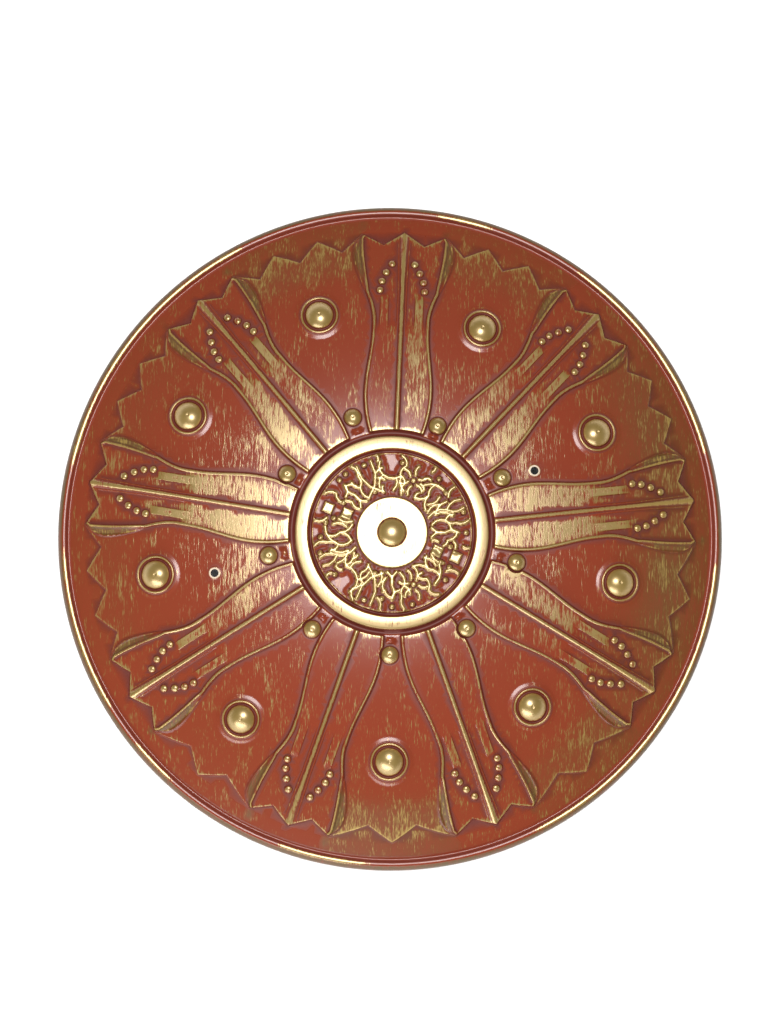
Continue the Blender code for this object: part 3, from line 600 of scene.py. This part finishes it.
# Joining the sheet
# Face and back are drawn and lifted apart, then joined by the turned rim and by the walls of the two holes.
# The normals come straight from the heights, so that the gloss runs as smoothly as on the real sheet.
def lay_grid(spacing, inner, outer):
    """Lay loose points in even triangles between two radii."""
    rows = int(outer / spacing / 0.86) + 2
    row, column = np.meshgrid(np.arange(-rows, rows + 1), np.arange(-rows, rows + 1))
    x = (column + 0.5 * (row % 2)) * spacing
    y = row * spacing * math.sqrt(0.75)
    r = np.hypot(x, y)
    wanted = (r > inner) & (r < outer)
    drawn_points.append(np.stack([x[wanted], y[wanted]], axis=1))


def draw_face():
    """Lay every line of the face, closest together where the relief bends most."""
    middle_of_shield = (0, 0)
    teeth_outward = np.array([-1.0, -0.3, 0.0, 0.4, 0.85, 1.3, 1.7]) * MM
    crest_shares = np.array([-0.3, 0.0, 0.2, 0.4, 0.6, 0.8, 1.0, 1.2, 1.4, 1.65, 2.0])
    rib_shares = np.array([-1.2, -1.0, -0.75, -0.5, -0.25, 0.0, 0.25, 0.5, 0.75, 1.0, 1.2])
    panel_shares = np.array([0.0, 0.33, 0.67, 1.0])
    pearl_rings = PEARL_RADIUS * np.array([0.06, 0.35, 0.6, 0.8, 0.93, 1.0, 1.08])
    boss_rings = np.array([0.2, 0.5, 0.8, 1.6, 3.2, 4.8, 6.3, 7.6, 8.8, 9.8, 10.5, 10.9, 11.4, 11.8, 12.3, 12.8, 13.2,
                           13.7, 14.3, 15.0, 16.0, 17.4, 19.2]) * MM
    stud_rings = STUD_RADIUS * np.array([0.04, 0.08, 0.12, 0.25, 0.45, 0.62, 0.77, 0.88, 0.96, 1.0, 1.05, 1.1, 1.15,
                                         1.21])
    block_rings = np.array([0.1, 0.7, 1.4, 2.0, 2.7, 3.4]) * MM
    flank_rings = MEDALLION_FLANK * np.array([0.0, 0.25, 0.5, 0.75, 1.0])
    inner_flank_rings = RING_INNER_FLANK * np.array([1.0, 0.8, 0.6, 0.4, 0.2, 0.0])
    centre_rings = np.array([0.2, 1.6, 3.2, 4.8, 6.3, 7.6, 8.6, 9.3, 9.8, 10.1, 10.5, 10.9, 11.3]) * MM
    dot_rings = DOT_RADIUS * np.array([0.06, 0.5, 0.8, 0.95, 1.0])
    lay_rings(middle_of_shield, [RIM_START], None, RIM_SIDES)
    lay_rings(middle_of_shield, [0.2300, 0.2345], 0.0050)
    lay_teeth(teeth_outward, 4)
    lay_rays(crest_shares, rib_shares, panel_shares, 0.0033)
    for angle in RAYS:
        for out, aside in zip(PEARLS_ALONG, PEARLS_ACROSS):
            for side in (-1, 1):
                lay_rings(turned(angle, out, side * aside), pearl_rings, None, 15)
    for middle in BOSS_MIDDLES:
        lay_rings(middle, boss_rings, None, 40)
    for middle, angle, distance in zip(STUD_MIDDLES, STUD_ANGLES, BLOCK_DISTANCES):
        lay_rings(middle, stud_rings, None, 28)
        lay_rings(turned(angle, distance, 0.0), block_rings, None, 14)
    lay_rings(middle_of_shield, MEDALLION_RADIUS + flank_rings, 0.0026)
    lay_rings(middle_of_shield, RING_OUTER - flank_rings, 0.0026)
    lay_rings(middle_of_shield, [0.0693, 0.0673, 0.0653], 0.0026)
    lay_rings(middle_of_shield, RING_INNER + inner_flank_rings, 0.0024)
    lay_rings(middle_of_shield, [0.0749, 0.0743, 0.0737, 0.0731, 0.0725], 0.0026)
    lay_rings(middle_of_shield, FRIEZE_RADIUS - flank_rings, 0.0022)
    lay_rings(middle_of_shield, DISC_RADIUS - flank_rings, 0.0018)
    lay_rings(middle_of_shield, [0.0235, 0.0200, 0.0165, 0.0140], 0.0024)
    lay_rings(middle_of_shield, centre_rings, None, 40)
    lay_grid(0.00102, DISC_RADIUS + 0.0003, FRIEZE_RADIUS - MEDALLION_FLANK - 0.0003)
    lay(np.stack([stroke_starts, stroke_ends], axis=1))
    for degrees, out, aside in tablet_places:
        corners = np.array([(1, 1), (1, -1), (-1, -1), (-1, 1)]) * TABLET_HALF_WIDTH
        lay(turned(degrees, out + corners[:, 0], aside + corners[:, 1]), closed=True)
    for middle in dot_middles:
        lay_rings(middle, dot_rings, None, 12)
    lay_grid(0.0048, MEDALLION_RADIUS + 0.004, TIP_RADIUS - 0.004)


def draw_back():
    """Lay the lines of the back, further apart than on the face."""
    middle_of_shield = (0, 0)
    teeth_outward = np.array([-1.8, -0.8, 0.6]) * MM
    boss_rings = np.array([0.2, 3.5, 6.5, 8.6, 9.6, 11.5, 13.2, 15.5]) * MM
    stud_rings = np.array([0.2, 2.4, 4.2, 5.4, 8.4, 9.6]) * MM
    medallion_rings = np.array([78.0, 76.8, 75.2, 71.6, 70.2, 69.2, 64.0, 62.6, 61.4, 60.0, 58.2, 27.0, 25.4, 23.8,
                                11.4, 9.0]) * MM
    centre_rings = np.array([8.4, 6.0, 3.0, 0.2]) * MM
    lay_rings(middle_of_shield, [RIM_START], None, RIM_SIDES)
    lay_teeth(teeth_outward, 2)
    lay_rays(np.array([0.1, 0.6, 1.2, 1.8]), np.array([-0.6, 0.0, 0.6]), np.array([0.5]), 0.0060)
    for middle in BOSS_MIDDLES:
        lay_rings(middle, boss_rings, None, 20)
    for middle in STUD_MIDDLES:
        lay_rings(middle, stud_rings, None, 14)
    lay_rings(middle_of_shield, medallion_rings, 0.0050)
    lay_rings(middle_of_shield, centre_rings, None, 20)
    lay_grid(0.0055, DISC_RADIUS, TIP_RADIUS - 0.004)


def heights_and_normals(height_of, x, y, facing):
    """Heights, and normals from the slopes on either side of each point, 0.05 mm apart."""
    step = 0.00005
    slope_x = (height_of(x + step, y) - height_of(x - step, y)) / (2 * step)
    slope_y = (height_of(x, y + step) - height_of(x, y - step)) / (2 * step)
    normals = np.stack([-slope_x, -slope_y, np.ones_like(x)], axis=1) * facing
    return height_of(x, y), normals / np.linalg.norm(normals, axis=1, keepdims=True)


def lifted_side(draw, height_of, facing, hole_shift):
    """One side of the sheet: its lines joined to triangles, lifted, and pierced by the two holes."""
    merge_distance = 2e-6
    lip_rings = np.array([3.3, 3.7, 4.1, 4.5, 4.8, 5.2]) * MM
    drawn_points.clear()
    drawn_lines.clear()
    draw()
    hole_rings = []
    for middle in HOLE_MIDDLES + hole_shift:
        hole_rings.append(sum(len(p) for p in drawn_points))
        lay_rings(middle, [HOLE_RADIUS], None, HOLE_SIDES)
        if facing > 0:
            lay_rings(middle, lip_rings, None, HOLE_SIDES)
    coords = [Vector(p) for p in np.concatenate(drawn_points).tolist()]
    lines = np.concatenate(drawn_lines).tolist()
    plan, _, faces, origins, _, _ = delaunay_2d_cdt(coords, lines, [], 0, merge_distance)
    plan = np.array([tuple(p) for p in plan])
    faces = np.array(faces)
    place_of = {origin: number for number, several in enumerate(origins) for origin in several}
    centres = plan[faces].mean(axis=1)
    keep = np.ones(len(faces), bool)
    for middle in HOLE_MIDDLES + hole_shift:
        keep &= np.hypot(*(centres - middle).T) > HOLE_RADIUS * 0.99
    faces = faces[keep][:, ::facing]
    heights, normals = heights_and_normals(height_of, plan[:, 0], plan[:, 1], facing)
    rim = np.array([place_of[i] for i in range(RIM_SIDES)])
    holes = [np.array([place_of[start + i] for i in range(HOLE_SIDES)]) for start in hole_rings]
    return np.column_stack([plan, heights]), normals, faces, rim, holes


def stitched(ring_a, ring_b):
    """Two triangles for each side between two rings of points."""
    after_a = np.roll(ring_a, -1)
    after_b = np.roll(ring_b, -1)
    return np.concatenate([np.stack([ring_a, ring_b, after_b], 1), np.stack([ring_a, after_b, after_a], 1)])


def turned_rim(profile, facing):
    """The rim's rings without the first, which the field brings: points, and normals square to the profile."""
    along = np.gradient(profile, axis=0)
    across = np.stack([-along[:, 1], along[:, 0]], axis=1) * facing
    across /= np.linalg.norm(across, axis=1, keepdims=True)
    a = 2 * math.pi * np.arange(RIM_SIDES) / RIM_SIDES
    circle = np.stack([np.cos(a), np.sin(a)], axis=1)
    points = [np.column_stack([circle * r, np.full(RIM_SIDES, z)]) for r, z in profile[1:]]
    normals = [np.column_stack([circle * r, np.full(RIM_SIDES, z)]) for r, z in across[1:]]
    return np.concatenate(points), np.concatenate(normals)


hole_tilt = SHEET * HOLE_MIDDLES / SPHERE_RADIUS
face_points, face_normals, face_faces, face_rim, face_holes = lifted_side(draw_face, face_height, 1, 0.0)
back_points, back_normals, back_faces, back_rim, back_holes = lifted_side(draw_back, back_height, -1, -hole_tilt)
outer_points, outer_normals = turned_rim(rim_profile(0.0, RIM_SPACING), 1)
inner_points, inner_normals = turned_rim(rim_profile(SHEET, 2 * RIM_SPACING), -1)

points = np.concatenate([face_points, back_points, outer_points, inner_points])
normals = np.concatenate([face_normals, back_normals, outer_normals, inner_normals])
back_start = len(face_points)
outer_start = back_start + len(back_points)
inner_start = outer_start + len(outer_points)
rings_out = [face_rim] + list(outer_start + np.arange(len(outer_points)).reshape(-1, RIM_SIDES))
rings_in = [back_start + back_rim] + list(inner_start + np.arange(len(inner_points)).reshape(-1, RIM_SIDES))
smooth_faces = [face_faces, back_start + back_faces]
smooth_faces += [stitched(a, b) for a, b in zip(rings_out, rings_out[1:])]
smooth_faces += [stitched(b, a) for a, b in zip(rings_in, rings_in[1:])]
cut_faces = [stitched(rings_out[-1], rings_in[-1])]
cut_faces += [stitched(back_start + b, f) for f, b in zip(face_holes, back_holes)]
smooth_faces = np.concatenate(smooth_faces)
cut_faces = np.concatenate(cut_faces)
faces = np.concatenate([smooth_faces, cut_faces])

# Where the brush left gold
# A nearly dry brush is dragged up and down the face. It loads every crest, knob and outer corner, and skips slopes
# and the foot of each step, which is darkened there as painted shade. On the flats it was used unevenly: the lists
# say how much each half ray and each gap got, and between which directions in degrees the bead got it. A load of
# about 0.5 covers half of a place.
BRUSH_REACH = 0.0016
BARE_LOAD = 0.02
CREST_GAIN = 1.3
CREST_LIMIT = 0.6
KNOB_LOAD = 1.15
COLLAR_LOAD = 0.7
COLLAR_RADIUS = 0.0132
COLLAR_HALF_WIDTH = 0.0013
BLOCK_LOSS = 0.8
BLOCK_REACH = 0.0045
LEAF_LOAD = 0.16
LEAF_START = 0.186
MIDRIB_LOAD = 0.35
TONGUE_REACH = 0.0045
TONGUE_PAINT_END = 0.190
DISC_LOAD = 1.0
RING_LOAD = 1.4
SIGN_LOAD = 1.1
FRIEZE_EDGE = 0.0585
FRIEZE_EDGE_LOSS = 0.5
# Towards the rim the brown veil is partly a film and partly painted shade; on the right side it is painted shade.
OUTER_VEIL_AND_SHADE = 0.08
RIGHT_PAINTED_SHADE = 0.45
TEETH_VEIL = 1.3
LEAF_VEIL = 0.9
# The foot of each step is darkened as painted shade, more the lower it lies than its surroundings.
FOOT_SHADE_FROM = 0.07
FOOT_SHADE_SPAN = 0.42
HALF_AFTER_LOADS = np.array([0.62, 0.42, 0.12, 0.58, 0.74, 0.10, 0.02, 0.06, 0.50])
HALF_BEFORE_LOADS = np.array([0.66, 0.46, 0.46, 0.40, 0.62, 0.42, 0.02, 0.02, 0.16])
GAP_LOADS = np.array([0.20, 0.10, 0.02, 0.34, 0.44, 0.0, 0.0, 0.02, 0.14])
TEETH_LOADS = np.array([0.05, 0.16, 0.24, 0.08, 0.08, 0.0, 0.30, 0.20, 0.10])
BEAD_STROKES = ((13, 57), (70, 84), (115, 170), (180, 213), (217, 230), (248, 268), (294, 358))


def brushed(x, y):
    """Gold: each region's load plus how far a place stands out. Veil: a brown film, partly painted shade. Foot:
    painted shade, by how far a place lies low.
    """
    height = relief(x, y)
    around = [relief(x + BRUSH_REACH * math.cos(a), y + BRUSH_REACH * math.sin(a))
              for a in 2 * math.pi * np.arange(8) / 8]
    stands_out = (height - np.mean(around, axis=0)) / MM
    r = np.hypot(x, y)
    ray, off, along, across = by_ray(x, y)
    side = np.abs(across)
    gap = np.where(off > 0, ray, ray - 1)
    on_ray = ease((ray_half_width(along) - side) / RAY_FLANK)
    half = np.where(off > 0, HALF_AFTER_LOADS[ray], HALF_BEFORE_LOADS[ray])
    outward = ease((r - 0.140) / 0.045)
    tongue = ease((TONGUE_REACH - np.abs(side - TONGUE_MIDDLE)) / 0.002) * ease((TONGUE_PAINT_END - along) / 0.02)
    half = half * (1.0 - 0.8 * outward * (1.0 - 0.7 * tongue)) - 0.15 * ease((0.098 - r) / 0.015)
    beside_rib = ease((side - midrib_half_width(along) - 0.0012) / 0.0012)
    on_rib = ease((midrib_half_width(along) - side) / 0.0008)
    leaf = ease((side - crest_half_width(along) + 0.0006) / 0.0012) * ease((along - LEAF_START) / 0.01)
    half = half * beside_rib + LEAF_LOAD * leaf + MIDRIB_LOAD * on_rib
    between = GAP_LOADS[gap] * ease((0.150 - r) / 0.04) + TEETH_LOADS[gap] * ease((r - 0.190) / 0.02)
    plate = (half * on_ray + between * (1 - on_ray)) * ease((TIP_RADIUS + 0.0005 - r) / 0.002)
    load = plate + BARE_LOAD
    for middles, radius in ((BOSS_MIDDLES, BOSS_RADIUS), (STUD_MIDDLES, STUD_RADIUS)):
        for px, py in middles:
            rho = np.hypot(x - px, y - py)
            load = np.maximum(load, KNOB_LOAD * ease((radius - rho) / 0.0008))
            if radius == BOSS_RADIUS:
                collar = ease(1.0 - np.abs(rho - COLLAR_RADIUS) / COLLAR_HALF_WIDTH)
                load = np.maximum(load, COLLAR_LOAD * collar)
    for px, py in turned(STUD_ANGLES, BLOCK_DISTANCES, 0.0):
        load = load - BLOCK_LOSS * ease((BLOCK_REACH - np.hypot(x - px, y - py)) / 0.001)
    medallion = 1.0 - ease((r - RING_OUTER) / 0.0015)
    painted_field = DISC_LOAD * ease((DISC_RADIUS + 0.0004 - r) / 0.001)
    painted_field = painted_field + RING_LOAD * ease((r - RING_INNER - 0.0014) / 0.001)
    signs = np.zeros_like(r)
    near = on_frieze(r)
    signs[near] = (frieze_relief(x[near], y[near]) - STROKE_SKIRT_RISE) / STROKE_RISE
    painted_field = painted_field + SIGN_LOAD * ease((signs - 0.15) / 0.4)
    painted_field = painted_field - FRIEZE_EDGE_LOSS * ease((r - FRIEZE_EDGE) / 0.001)
    load = load * (1 - medallion) + medallion * (BARE_LOAD + painted_field)
    # Veil: a brown film by the teeth and on the leaves, partly painted shade towards the rim, painted shade on the
    # right.
    veil_and_shade = OUTER_VEIL_AND_SHADE * ease((r - 0.140) / 0.06) + RIGHT_PAINTED_SHADE * ease((x - 0.12) / 0.10) * ease((r - 0.15) / 0.05)
    veil_and_shade = veil_and_shade + TEETH_VEIL * TEETH_LOADS[gap] * ease((r - 0.190) / 0.02) * (1 - on_ray)
    veil_and_shade = np.maximum(veil_and_shade * (1.0 - 0.3 * ease((r - TIP_RADIUS) / 0.002)), LEAF_VEIL * leaf * on_ray)
    gold_load = load + CREST_GAIN * np.clip(stands_out, -CREST_LIMIT, CREST_LIMIT)
    return gold_load, veil_and_shade, clamp((-stands_out - FOOT_SHADE_FROM) / FOOT_SHADE_SPAN)


# The bead is brushed along its crest. Its outer side is browned and its inner foot darkened, both painted shade.
# Slopes outside the medallion lose gold. The back and the inside of the rim get none.
STROKE_FADE_DEGREES = 4.0
SLOPE_NORMAL = 0.84
SLOPE_LOSS = 1.1
LIP_HIGHLIGHT_RADIUS = 0.0043
NO_GOLD = -1.0
bead_radius = np.hypot(outer_points[:, 0], outer_points[:, 1])
bead_turn = np.degrees(np.arctan2(outer_points[:, 1], outer_points[:, 0])) % 360.0
bead_crest = ease(1.0 - np.abs(bead_radius - BEAD_CREST_RADIUS) / 0.0026)
bead_stroke = np.max([ease((bead_turn - a) / STROKE_FADE_DEGREES) * ease((b - bead_turn) / STROKE_FADE_DEGREES)
                      for a, b in BEAD_STROKES], axis=0)
bead_load = 1.5 * bead_crest * bead_stroke - 0.3
# Painted shade: brown outside the crest and dark at the inner foot.
bead_outer_shade = 0.9 * ease((bead_radius - BEAD_CREST_RADIUS - 0.0010) / 0.0010)
bead_foot_shade = 0.8 * ease(1.0 - np.abs(bead_radius - BEAD_START_RADIUS - 0.0010) / 0.0013)
face_gold, face_veil_and_shade, face_foot_shade = brushed(face_points[:, 0], face_points[:, 1])
face_slope = np.maximum(0.0, SLOPE_NORMAL - face_normals[:, 2])
outside_frieze = np.hypot(face_points[:, 0], face_points[:, 1]) > FRIEZE_RADIUS
face_gold = face_gold - SLOPE_LOSS * face_slope * outside_frieze
gold = np.full(len(points), NO_GOLD)
gold[:back_start] = face_gold
gold[outer_start:inner_start] = bead_load
# veil: a brown film, partly painted shade.
veil_and_shade = np.zeros(len(points))
veil_and_shade[:back_start] = face_veil_and_shade
veil_and_shade[outer_start:inner_start] = bead_outer_shade
# foot: painted shade at the foot of each step on the face and at the bead's inner foot.
foot = np.zeros(len(points))
foot[:back_start] = face_foot_shade
foot[outer_start:inner_start] = bead_foot_shade
# A pale tone round each hole on the face: a painted highlight on the lip.
lip_highlight = np.zeros(len(points))
for middle in HOLE_MIDDLES:
    rho = np.hypot(points[:, 0] - middle[0], points[:, 1] - middle[1])
    lip_highlight = np.maximum(lip_highlight, ease((LIP_HIGHLIGHT_RADIUS - rho) / 0.0005))
lip_highlight[back_start:outer_start] = 0.0

mesh = bpy.data.meshes.new("formed_sheet")
mesh.from_pydata(points.tolist(), [], faces.tolist())
edge_a = points[cut_faces[:, 1]] - points[cut_faces[:, 0]]
edge_b = points[cut_faces[:, 2]] - points[cut_faces[:, 0]]
cut_normals = np.cross(edge_a, edge_b)
cut_normals /= np.linalg.norm(cut_normals, axis=1, keepdims=True)
corner_normals = np.concatenate([normals[smooth_faces.ravel()], np.repeat(cut_normals, 3, axis=0)])
mesh.shade_smooth()
mesh.normals_split_custom_set(corner_normals.tolist())
for name, values in (("gold", gold), ("veil_and_shade", veil_and_shade), ("foot", foot), ("lip_highlight", lip_highlight)):
    attribute = mesh.attributes.new(name, "FLOAT", "POINT")
    attribute.data.foreach_set("value", values.astype(np.float32))
formed_sheet = bpy.data.objects.new("formed_sheet", mesh)
bpy.context.scene.collection.objects.link(formed_sheet)


# The plastic and its paint
# The sheet is glossy high-impact polystyrene, coloured through, so its back and cut edges are bare red. The gold is
# a paint of mica flakes in a clear binder: partly metal, with a milky coat that whitens where it faces a light.
RED = "#7E341F"
# The next colour is a brown film and also painted shade.
BROWN_VEIL_AND_SHADE = "#574016"
# The next colour is painted shade at the foot of each step.
FOOT_PAINTED_SHADE = "#4C110A"
GOLD = "#A88A46"
# The next colour is a painted highlight on the holes' lips.
LIP_PAINTED_HIGHLIGHT = "#D2C0A8"
GOLD_METAL_SHARE = 0.55
FOOT_SHADE_COVER = 0.75
DULL_ROUGHNESS = 0.34


def linear(code):
    """An sRGB hex colour as linear light."""
    parts = [int(code[i:i + 2], 16) / 255 for i in (1, 3, 5)]
    return tuple(c / 12.92 if c <= 0.04045 else ((c + 0.055) / 1.055) ** 2.4 for c in parts) + (1.0,)


def add(tree, kind, settings=(), inputs=()):
    """Add a node, with its settings, and with each input given a value or linked from a socket."""
    node = tree.nodes.new(kind)
    for name, value in dict(settings).items():
        setattr(node, name, value)
    for socket, value in dict(inputs).items():
        if isinstance(value, bpy.types.NodeSocket):
            tree.links.new(value, node.inputs[socket])
        else:
            node.inputs[socket].default_value = value
    return node


# Gives the eye a wet-looking red with soft white reflections, under thin brassy strokes that are broken up
# along the brush's path and catch the light more broadly than the plastic does.
painted = bpy.data.materials.new("gloss_polystyrene_with_dry_brushed_gold")
painted.use_nodes = True
tree = painted.node_tree
tree.nodes.clear()
place = add(tree, "ShaderNodeTexCoord").outputs["Object"]
gold_share = add(tree, "ShaderNodeAttribute", {"attribute_name": "gold"}).outputs["Fac"]
veil_and_shade_share = add(tree, "ShaderNodeAttribute", {"attribute_name": "veil_and_shade"}).outputs["Fac"]
foot_shade_share = add(tree, "ShaderNodeAttribute", {"attribute_name": "foot"}).outputs["Fac"]
lip_highlight_share = add(tree, "ShaderNodeAttribute", {"attribute_name": "lip_highlight"}).outputs["Fac"]


def streaks(width, length, detail, seed):
    """Noise drawn out along Y: width and length are the size of one stroke in metres."""
    mapped = add(tree, "ShaderNodeMapping", {}, {"Vector": place, "Location": (seed, seed, 0.0),
                                                 "Scale": (1 / width, 1 / length, 0.25 / width)})
    return add(tree, "ShaderNodeTexNoise", {}, {"Vector": mapped.outputs[0], "Scale": 1.0, "Detail": detail,
                                                "Roughness": 0.55}).outputs["Fac"]


def combine(operation, a, b):
    """One step of arithmetic on two values."""
    return add(tree, "ShaderNodeMath", {"operation": operation}, {0: a, 1: b}).outputs[0]


# Each bristle leaves a hair about 0.5 mm wide, a clump of them a stroke of 1.3 mm, and one dip of the brush a
# patch some 16 mm wide. The three are added up, and where the load with them is high enough there is a film.
hairs = streaks(0.0005, 0.0055, 2.0, 3.0)
strokes = streaks(0.0013, 0.012, 2.0, 7.0)
patches = streaks(0.016, 0.030, 1.0, 11.0)
wobble = combine("ADD", combine("MULTIPLY", combine("SUBTRACT", hairs, 0.5), 1.7),
                 combine("MULTIPLY", combine("SUBTRACT", strokes, 0.5), 1.6))
wobble = combine("ADD", wobble, combine("MULTIPLY", combine("SUBTRACT", patches, 0.5), 0.9))
load = combine("ADD", gold_share, wobble)
film = add(tree, "ShaderNodeMapRange", {"interpolation_type": "SMOOTHSTEP"},
           {"Value": load, "From Min": 0.20, "From Max": 0.85}).outputs[0]
# The brown veil mixed into the red is partly a film and partly painted shade.
thin = combine("MULTIPLY", veil_and_shade_share, combine("ADD", 1.0, wobble))
thin = combine("ADD", thin, combine("MULTIPLY", film, 0.3))
red = add(tree, "ShaderNodeMix", {"data_type": "RGBA", "clamp_factor": True},
          {"Factor": thin, "A": linear(RED), "B": linear(BROWN_VEIL_AND_SHADE)}).outputs["Result"]
# Painted shade at the foot of each step darkens the red here.
shaded = add(tree, "ShaderNodeMix", {"data_type": "RGBA"},
             {"Factor": combine("MULTIPLY", foot_shade_share, FOOT_SHADE_COVER), "A": red,
              "B": linear(FOOT_PAINTED_SHADE)}).outputs["Result"]
paint = add(tree, "ShaderNodeMix", {"data_type": "RGBA"},
            {"Factor": film, "A": shaded, "B": linear(GOLD)}).outputs["Result"]
# The pale lips are a painted highlight.
colour = add(tree, "ShaderNodeMix", {"data_type": "RGBA"},
             {"Factor": lip_highlight_share, "A": paint, "B": linear(LIP_PAINTED_HIGHLIGHT)}).outputs["Result"]
metal = combine("SUBTRACT", GOLD_METAL_SHARE, combine("MULTIPLY", lip_highlight_share, GOLD_METAL_SHARE))
metal = combine("MULTIPLY", film, metal)
dull = combine("MAXIMUM", veil_and_shade_share, foot_shade_share)
pearl = combine("MULTIPLY", film, combine("SUBTRACT", 1.0, dull))
gloss = add(tree, "ShaderNodeMapRange", {}, {"Value": film, "To Min": 0.21, "To Max": 0.31}).outputs[0]
gloss = combine("ADD", gloss, combine("MULTIPLY", dull, DULL_ROUGHNESS))
bump = add(tree, "ShaderNodeBump", {}, {"Strength": 0.25, "Distance": 0.0002, "Height": film}).outputs[0]
shader = add(tree, "ShaderNodeBsdfPrincipled", {}, {"Base Color": colour, "Metallic": metal, "Roughness": gloss,
                                                    "Coat Weight": pearl, "Coat Roughness": 0.34, "Coat IOR": 1.85,
                                                    "Normal": bump, "Coat Normal": bump})
add(tree, "ShaderNodeOutputMaterial", {}, {"Surface": shader.outputs[0]})
mesh.materials.append(painted)

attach(formed_sheet, "root")
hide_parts("shield_shell")

# The studio
# A plain white floor, one round soft light above the shield, a long low one at the bottom left, a dark room.
# The first light shows in the shield as the pale zone round the medallion.
FLOOR_HALF = 6.0
floor_mesh = bpy.data.meshes.new("floor")
floor_mesh.from_pydata([(-FLOOR_HALF, -FLOOR_HALF, 0), (FLOOR_HALF, -FLOOR_HALF, 0),
                        (FLOOR_HALF, FLOOR_HALF, 0), (-FLOOR_HALF, FLOOR_HALF, 0)], [], [(0, 1, 2, 3)])
floor = bpy.data.objects.new("floor", floor_mesh)
bpy.context.scene.collection.objects.link(floor)
floor_white = bpy.data.materials.new("matt_white_floor")
floor_white.use_nodes = True
floor_shader = floor_white.node_tree.nodes["Principled BSDF"]
floor_shader.inputs["Base Color"].default_value = (0.93, 0.93, 0.93, 1.0)
floor_shader.inputs["Roughness"].default_value = 0.9
floor_shader.inputs["Specular IOR Level"].default_value = 0.0
floor_mesh.materials.append(floor_white)

for name, width, height, watts, place_of_light in (("softbox_above", 1.75, 1.75, 102.0, (-0.06, 0.24, 2.7)),
                                                   ("softbox_low", 3.4, 1.1, 64.0, (-0.80, -2.50, 0.75))):
    softbox = bpy.data.lights.new(name, "AREA")
    softbox.shape = "ELLIPSE"
    softbox.size = width
    softbox.size_y = height
    softbox.energy = watts
    softbox_object = bpy.data.objects.new(name, softbox)
    softbox_object.location = place_of_light
    softbox_object.rotation_euler = Vector(place_of_light).to_track_quat("Z", "Y").to_euler()
    bpy.context.scene.collection.objects.link(softbox_object)

world = bpy.data.worlds.new("room")
world.use_nodes = True
world.node_tree.nodes["Background"].inputs["Color"].default_value = (1.0, 0.98, 0.95, 1.0)
world.node_tree.nodes["Background"].inputs["Strength"].default_value = 0.10
bpy.context.scene.world = world
bpy.context.scene.view_settings.view_transform = "Standard"

# The camera
# It looks almost straight down on the middle of the shield from 2.5 m, tipped a little to the top and the left.
CAMERA_DISTANCE = 2.5
FOCAL_PIXELS = 3317.7
TIP_ABOUT_X = math.radians(-3.4167)
TIP_ABOUT_Y = math.radians(1.0)
SHIELD_BELOW_MIDDLE = 25.46
IMAGE_HEIGHT = 1024
SENSOR = 36.0
seen_from = (Matrix.Rotation(TIP_ABOUT_X, 4, "X") @ Matrix.Rotation(TIP_ABOUT_Y, 4, "Y")).transposed()
lens = bpy.data.cameras.new("camera")
lens.sensor_width = SENSOR
lens.lens = SENSOR * FOCAL_PIXELS / IMAGE_HEIGHT
lens.shift_y = SHIELD_BELOW_MIDDLE / IMAGE_HEIGHT
lens.clip_end = 20.0
camera = bpy.data.objects.new("camera", lens)
camera.matrix_world = seen_from @ Matrix.Translation((0.0, 0.0, CAMERA_DISTANCE))
bpy.context.scene.collection.objects.link(camera)
bpy.context.scene.camera = camera
